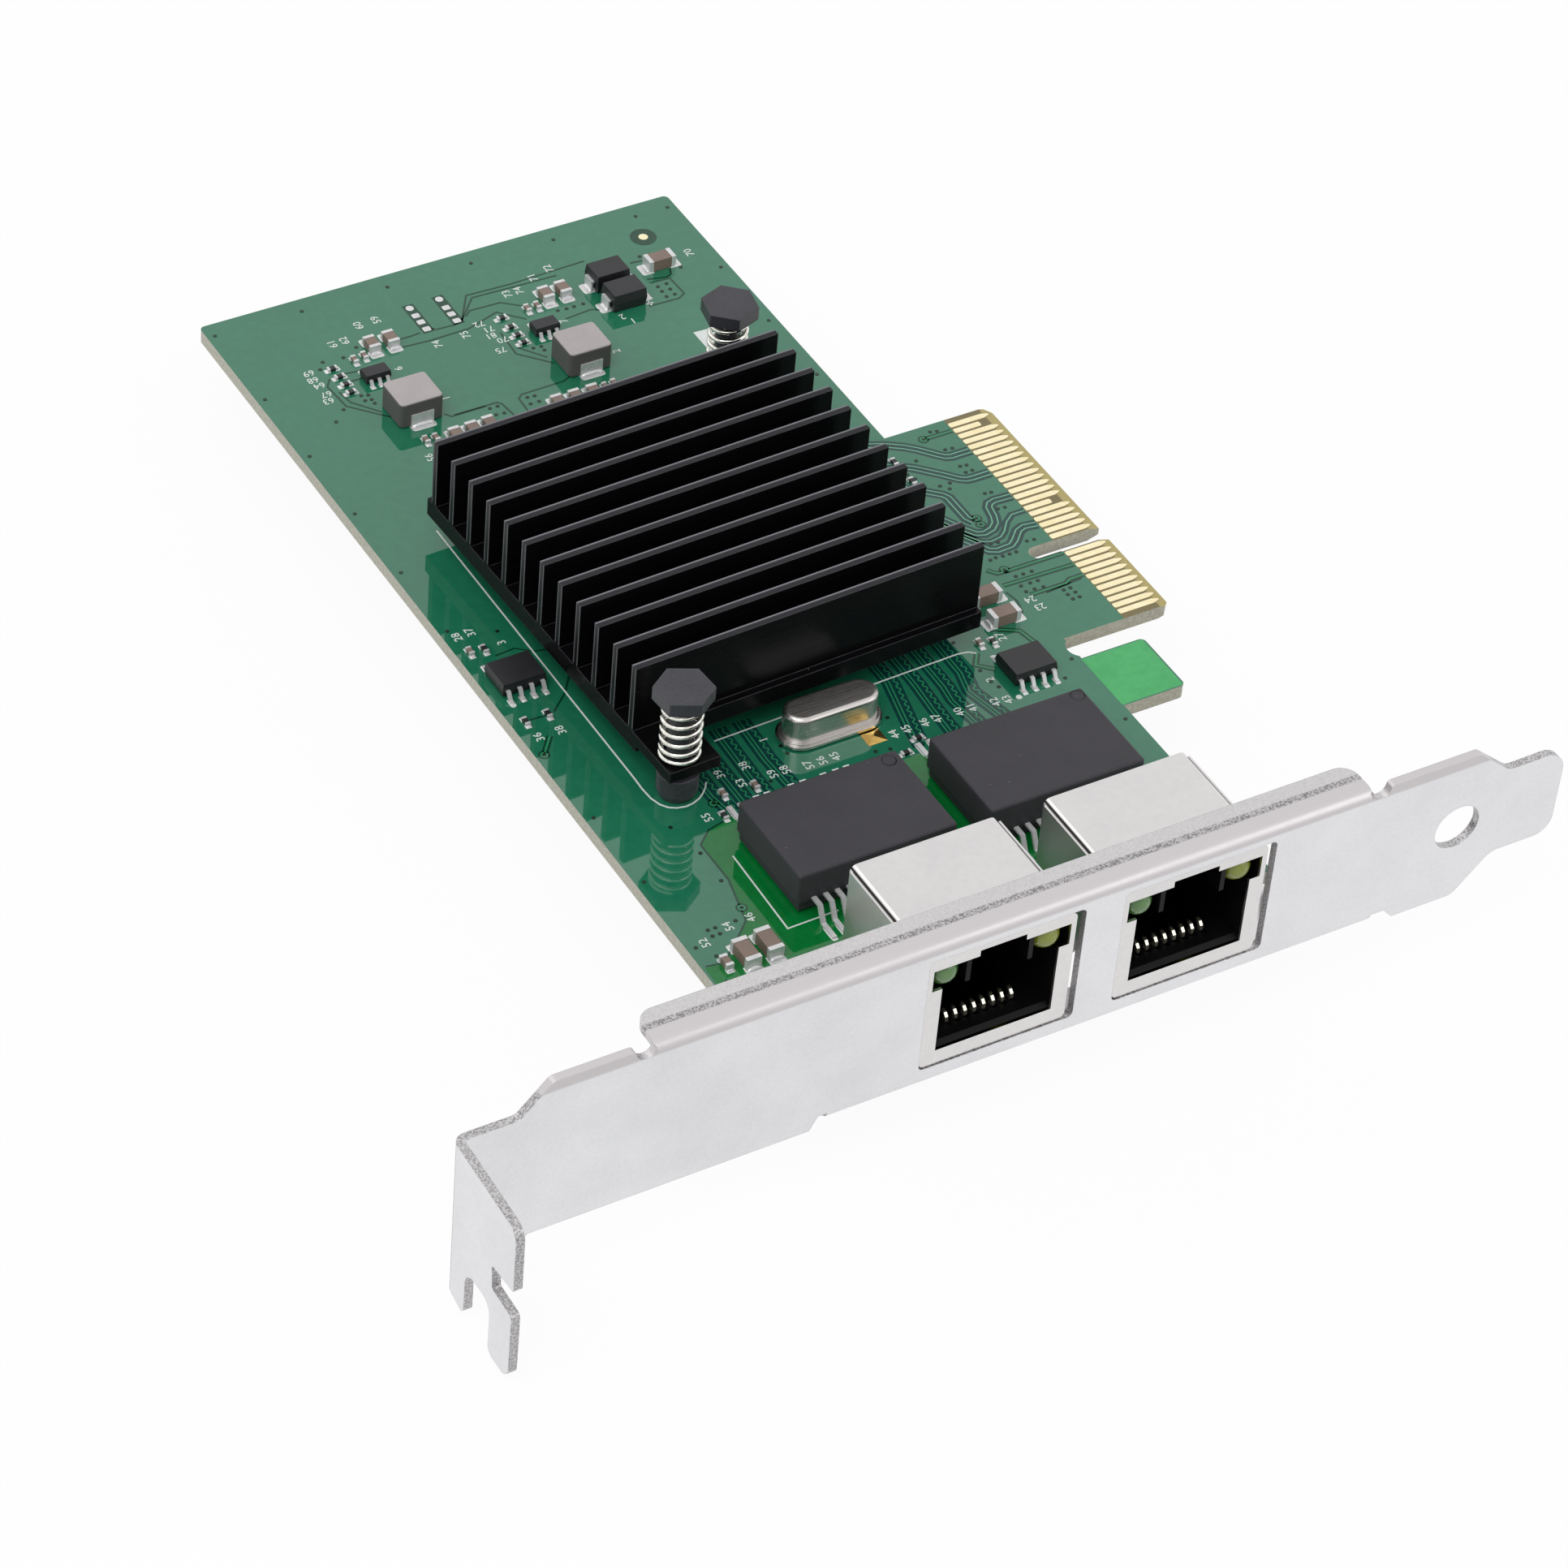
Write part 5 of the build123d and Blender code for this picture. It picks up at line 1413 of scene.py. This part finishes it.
def solids_of(node: bpy.types.Object) -> list[Solid]:
    """The separate solids of a node.

    Equal corners are made one, then each corner takes the lowest number among those it shares an
    edge with, again and again until nothing changes: corners with one number are one solid.

    Args:
        node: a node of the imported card.

    Returns:
        Its solids.
    """
    mesh = node.data
    flat = np.zeros(len(mesh.vertices) * 3)
    mesh.vertices.foreach_get("co", flat)
    spots, same = np.unique(np.round(flat.reshape(-1, 3) / MM, SAME_CORNER), axis=0, return_inverse=True)
    pairs = np.zeros(len(mesh.edges) * 2, int)
    mesh.edges.foreach_get("vertices", pairs)
    a, b = same.reshape(-1)[pairs.reshape(-1, 2)].T
    number = np.arange(len(spots))
    while True:
        least = np.minimum(number[a], number[b])
        fresh = number.copy()
        np.minimum.at(fresh, a, least)
        np.minimum.at(fresh, b, least)
        fresh = fresh[fresh]
        if np.array_equal(fresh, number):
            break
        number = fresh
    found = []
    for label in np.unique(number):
        corners = spots[number == label]
        lowest = corners[corners[:, 2] < corners[:, 2].min() + FOOT_DEPTH]
        found.append(Solid(corners.min(0), corners.max(0), lowest.mean(0)))
    return found


@dataclass
class SolderWork:
    """Lands and solder under every part's ends, and the joints where pins come through."""

    nodes: dict[str, bpy.types.Object]
    sunk: float = -0.02
    lead_top: float = 0.1
    lead_spare: float = 0.22
    lead_most: float = 1.9
    lead_share: float = 0.75
    lead_past: float = 0.32
    lead_longer: float = 0.3
    land_top: float = 0.06
    large_end: float = 1.0
    fillet_spare: float = 0.1
    fillet_rise: float = 0.3
    fillet_spread: float = 0.9
    fillet_shift: float = 0.6
    fillet_power: float = 4.0
    land_power: float = 7.0
    large_land: tuple[float, float, float] = (0.28, 0.3, 2.4)
    small_land: tuple[float, float, float] = (0.14, 0.14, 1.8)
    joint_outline = ((0.5, 0.02), (0.48, -0.05), (0.33, -0.2), (0.22, -0.5), (0.12, -0.62))
    lead_owners = (
        ("left_transformer_leads", "left_transformer"),
        ("right_transformer_leads", "right_transformer"),
        ("memory_chip_leads", "memory_chips"),
        ("regulator_leads", "regulator_chips"),
    )
    end_owners = (
        ("inductor_terminals", "inductor_bodies"),
        ("diode_terminals", "diode_bodies"),
        ("large_capacitor_caps", "large_capacitors"),
        ("medium_capacitor_caps", "medium_capacitors"),
        ("single_capacitor_caps", "single_capacitor"),
        ("small_capacitor_caps", "small_capacitors"),
        ("resistor_caps", "resistors"),
    )
    pin_nodes = ("left_port_contacts", "right_port_contacts", "status_lamp_leads")

    def build(self) -> None:
        """Makes the lands, the solder on them and the joints below."""
        self.lead_lands()
        self.end_lands()
        self.through_joints()

    def _owner(self, part: Solid, owners: list[Solid]) -> Solid:
        """The body nearest to an end or lead."""
        gaps = [np.linalg.norm((part.middle - o.middle)[:2]) for o in owners]
        return owners[int(np.argmin(gaps))]

    def lead_lands(self) -> None:
        """A long rounded land under each lead's foot, out past its tip."""
        shapes = []
        for leads, bodies in self.lead_owners:
            owners = solids_of(self.nodes[bodies])
            for lead in solids_of(self.nodes[leads]):
                across, along = (lead.high - lead.low)[:2]
                outward = 1.0 if lead.middle[1] > self._owner(lead, owners).middle[1] else -1.0
                tip = lead.high[1] if outward > 0 else lead.low[1]
                long = min(self.lead_most, along * self.lead_share) + self.lead_longer
                land = pillow(across + self.lead_spare, long, self.sunk, self.lead_top)
                shapes.append(land.placed(lead.middle[0], tip - outward * (0.5 * long - self.lead_past)))
        make_piece("lead_solder", shapes, TIN, Skin.SMOOTH)

    def end_lands(self) -> None:
        """A land and a rising fillet under each end cap, shifted away from the part's middle."""
        shapes = []
        for ends, bodies in self.end_owners:
            owners = solids_of(self.nodes[bodies])
            for end in solids_of(self.nodes[ends]):
                away = (end.middle - self._owner(end, owners).middle)[:2]
                foot = (end.high - end.low)[:2]
                large = max(foot) > self.large_end
                shift, spare, spread = self.large_land if large else self.small_land
                axis = 0 if abs(away[0]) > abs(away[1]) else 1
                step = np.zeros(2)
                step[axis] = math.copysign(shift, away[axis])
                land = foot + spare + spread * np.abs(step)
                middle = end.middle[:2]
                shapes.append(pillow(*land, self.sunk, self.land_top, self.land_power).placed(*(middle + step)))
                fillet = foot + self.fillet_spare + self.fillet_spread * np.abs(step)
                rise = self.fillet_rise * (end.high[2] - end.low[2])
                rising = pillow(*fillet, self.sunk, rise, self.fillet_power)
                shapes.append(rising.placed(*(middle + self.fillet_shift * step)))
        make_piece("end_solder", shapes, TIN, Skin.SMOOTH)

    def through_joints(self) -> None:
        """A small cone of solder where each pin of the ports and lamps comes through the board."""
        cone = turned([(radius, BOARD_UNDER + height) for radius, height in self.joint_outline])
        make_piece("through_joints", [cone.placed(pin.foot[0], pin.foot[1]) for name in self.pin_nodes
                                      for pin in solids_of(self.nodes[name])], TIN, Skin.SMOOTH)


@dataclass
class FingerTips:
    """The short pointed stubs that stand out from the contact fingers' outer ends."""

    nodes: dict[str, bpy.types.Object]
    width: float = 0.5
    reach: float = 0.5
    thick: float = 0.03
    back: float = 0.1
    sunk: float = -0.01
    shoulder: float = 0.25
    point: float = 0.3
    long_share: float = 0.3

    def build(self) -> None:
        """Makes one stub for each long finger, on the component face."""
        fingers = solids_of(self.nodes["contact_fingers_front"])
        furthest = max(finger.high[0] for finger in fingers)
        half = 0.5 * self.width
        side = [(-self.back, half), (self.shoulder * self.reach, half), (self.reach, self.point * half)]
        stub = slab([(x, -y) for x, y in side] + side[::-1], self.sunk, self.thick)
        make_piece("finger_tips", [stub.placed(finger.high[0], finger.middle[1]) for finger in fingers
                                   if finger.high[0] > furthest - self.long_share], GOLD)


@dataclass
class Springs:
    """The two push pins' coil springs in round wire, with closed end turns."""

    nodes: dict[str, bpy.types.Object]
    wire: float = 0.25
    turns: float = 6.6
    closed: float = 0.8
    start: float = 0.6
    per_turn: int = 28

    def build(self) -> None:
        """Replaces the plain springs.

        The line goes round at one radius while its height rises evenly, except in the closed end
        turns, where it rises by one wire's thickness a turn.
        """
        shapes = []
        for spring in solids_of(self.nodes["push_pin_springs"]):
            middle = spring.middle
            radius = 0.5 * (spring.high[0] - spring.low[0]) - self.wire
            low, high = spring.low[2] + self.wire, spring.high[2] - self.wire
            at = np.linspace(0.0, self.turns, int(self.turns * self.per_turn))
            lap = 2.0 * self.wire
            height = np.interp(at, [0.0, self.closed, self.turns - self.closed, self.turns],
                               [low, low + self.closed * lap, high - self.closed * lap, high])
            angle = 2.0 * math.pi * at + self.start
            line = np.stack([middle[0] + radius * np.cos(angle), middle[1] + radius * np.sin(angle), height], axis=1)
            shapes.append(tube(line, self.wire))
        piece = make_piece("coil_springs", shapes, SPRING, Skin.SMOOTH)
        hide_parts("push_pin_springs")


# ---------------------------------------------------------------- studio


@dataclass(frozen=True)
class Lamp:
    """A soft square lamp that looks at the card."""

    name: str
    place: tuple[float, float, float]
    size: float
    watts: float

    def build(self, target: Vector) -> None:
        """Makes the lamp.

        Args:
            target: the point that it faces, in metres.
        """
        data = bpy.data.lights.new(self.name, "AREA")
        data.shape, data.size, data.energy = "SQUARE", self.size, self.watts
        lamp = bpy.data.objects.new(self.name, data)
        lamp.location = Vector(self.place)
        lamp.rotation_euler = (target - lamp.location).to_track_quat("-Z", "Y").to_euler()
        bpy.context.scene.collection.objects.link(lamp)


@dataclass
class Studio:
    """Plain pale floor, white surroundings, soft lamps and the camera."""

    floor_size: float = 6.0
    floor_gap: float = 0.0005
    sky: float = 0.62
    shadow: float = 0.2
    paper: float = 1.17
    matte: float = 0.3
    middle: tuple[float, float, float] = (-0.045, 0.005, 0.0)
    lens: float = 132.40
    sensor: float = 36.0
    clip: Point = (0.01, 20.0)
    eye: tuple[float, float, float] = (-0.27866010, -0.36529540, 0.37180974)
    right: tuple[float, float, float] = (0.86399102, -0.49868543, 0.06951519)
    up: tuple[float, float, float] = (0.28950829, 0.60498059, 0.74174351)
    back: tuple[float, float, float] = (-0.41195203, -0.62073451, 0.66707136)
    lamps: tuple[Lamp, ...] = (
        Lamp("key_lamp", (-0.55, -0.25, 0.95), 0.7, 3.6),
        Lamp("fill_lamp", (0.75, -0.75, 0.5), 0.8, 1.8),
        Lamp("far_lamp", (-0.35, 0.95, 0.7), 0.9, 1.2),
    )

    def build(self, low: Sequence[float]) -> None:
        """Makes everything round the card.

        Args:
            low: the card's lowest corner, in metres.
        """
        self._camera()
        self._floor(low[2] - self.floor_gap)
        self._sky()
        for lamp in self.lamps:
            lamp.build(Vector(self.middle))
        bpy.context.scene.view_settings.view_transform = "Standard"

    def _camera(self) -> None:
        """The camera at the photograph's viewing angle."""
        data = bpy.data.cameras.new("camera")
        data.sensor_fit, data.sensor_width, data.lens = "HORIZONTAL", self.sensor, self.lens
        data.clip_start, data.clip_end = self.clip
        camera = bpy.data.objects.new("camera", data)
        turn = Matrix((self.right, self.up, self.back)).transposed()
        camera.matrix_world = Matrix.Translation(self.eye) @ turn.to_4x4()
        bpy.context.scene.collection.objects.link(camera)
        bpy.context.scene.camera = camera

    @staticmethod
    def _seen(graph: Graph) -> Socket:
        """1 for rays that show the surroundings: straight, mirrored or passed through.

        Args:
            graph: the graph to add to.

        Returns:
            The socket.
        """
        path = graph.add("LightPath").outputs
        seen = graph.math("MAXIMUM", path["Is Camera Ray"], path["Is Glossy Ray"])
        return graph.math("MAXIMUM", seen, path["Is Transmission Ray"])

    def _floor(self, height: float) -> None:
        """A wide pale floor that keeps a faint shadow.

        Args:
            height: of the floor, in metres.
        """
        half = self.floor_size * 0.5
        mesh = bpy.data.meshes.new("floor")
        mesh.from_pydata([(-half, -half, height), (half, -half, height), (half, half, height),
                          (-half, half, height)], [], [(0, 1, 2, 3)])
        floor = bpy.data.objects.new("floor", mesh)
        bpy.context.scene.collection.objects.link(floor)
        paint = bpy.data.materials.new("floor_paper")
        paint.use_nodes = True
        paint.node_tree.nodes.clear()
        graph = Graph(paint.node_tree)
        matte = graph.add("BsdfDiffuse", {"Color": (self.matte, self.matte, self.matte, 1.0)})
        glow = graph.add("Emission", {"Color": WHITE, "Strength": self.paper})
        mix = graph.add("MixShader", {0: graph.times(self._seen(graph), 1.0 - self.shadow), 1: matte.outputs[0],
                                      2: glow.outputs[0]})
        graph.add("OutputMaterial", {"Surface": mix.outputs[0]})
        mesh.materials.append(paint)
        floor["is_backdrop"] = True

    def _sky(self) -> None:
        """White where it is seen, and an even soft light everywhere else."""
        world = bpy.data.worlds.new("studio")
        world.use_nodes = True
        world.node_tree.nodes.clear()
        graph = Graph(world.node_tree)
        strength = graph.ramp(self._seen(graph), 0.0, 1.0, self.sky, 1.0)
        light = graph.add("Background", {"Color": WHITE, "Strength": strength})
        graph.add("OutputWorld", {"Surface": light.outputs[0]})
        bpy.context.scene.world = world


# ---------------------------------------------------------------- the card


def main() -> None:
    """Dresses the card, adds its printed and soldered detail, and sets the studio round it."""
    logging.basicConfig(level=logging.INFO, format="%(name)s %(message)s")
    cad_box = [list(corner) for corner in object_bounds()]
    dress_nodes(frame["nodes"])
    for part in (BoardPrint(), SolderWork(frame["nodes"]), FingerTips(frame["nodes"]), Springs(frame["nodes"])):
        part.build()
    Studio().build(cad_box[0])
    bpy.context.view_layer.update()


if __name__ == "__main__":
    main()
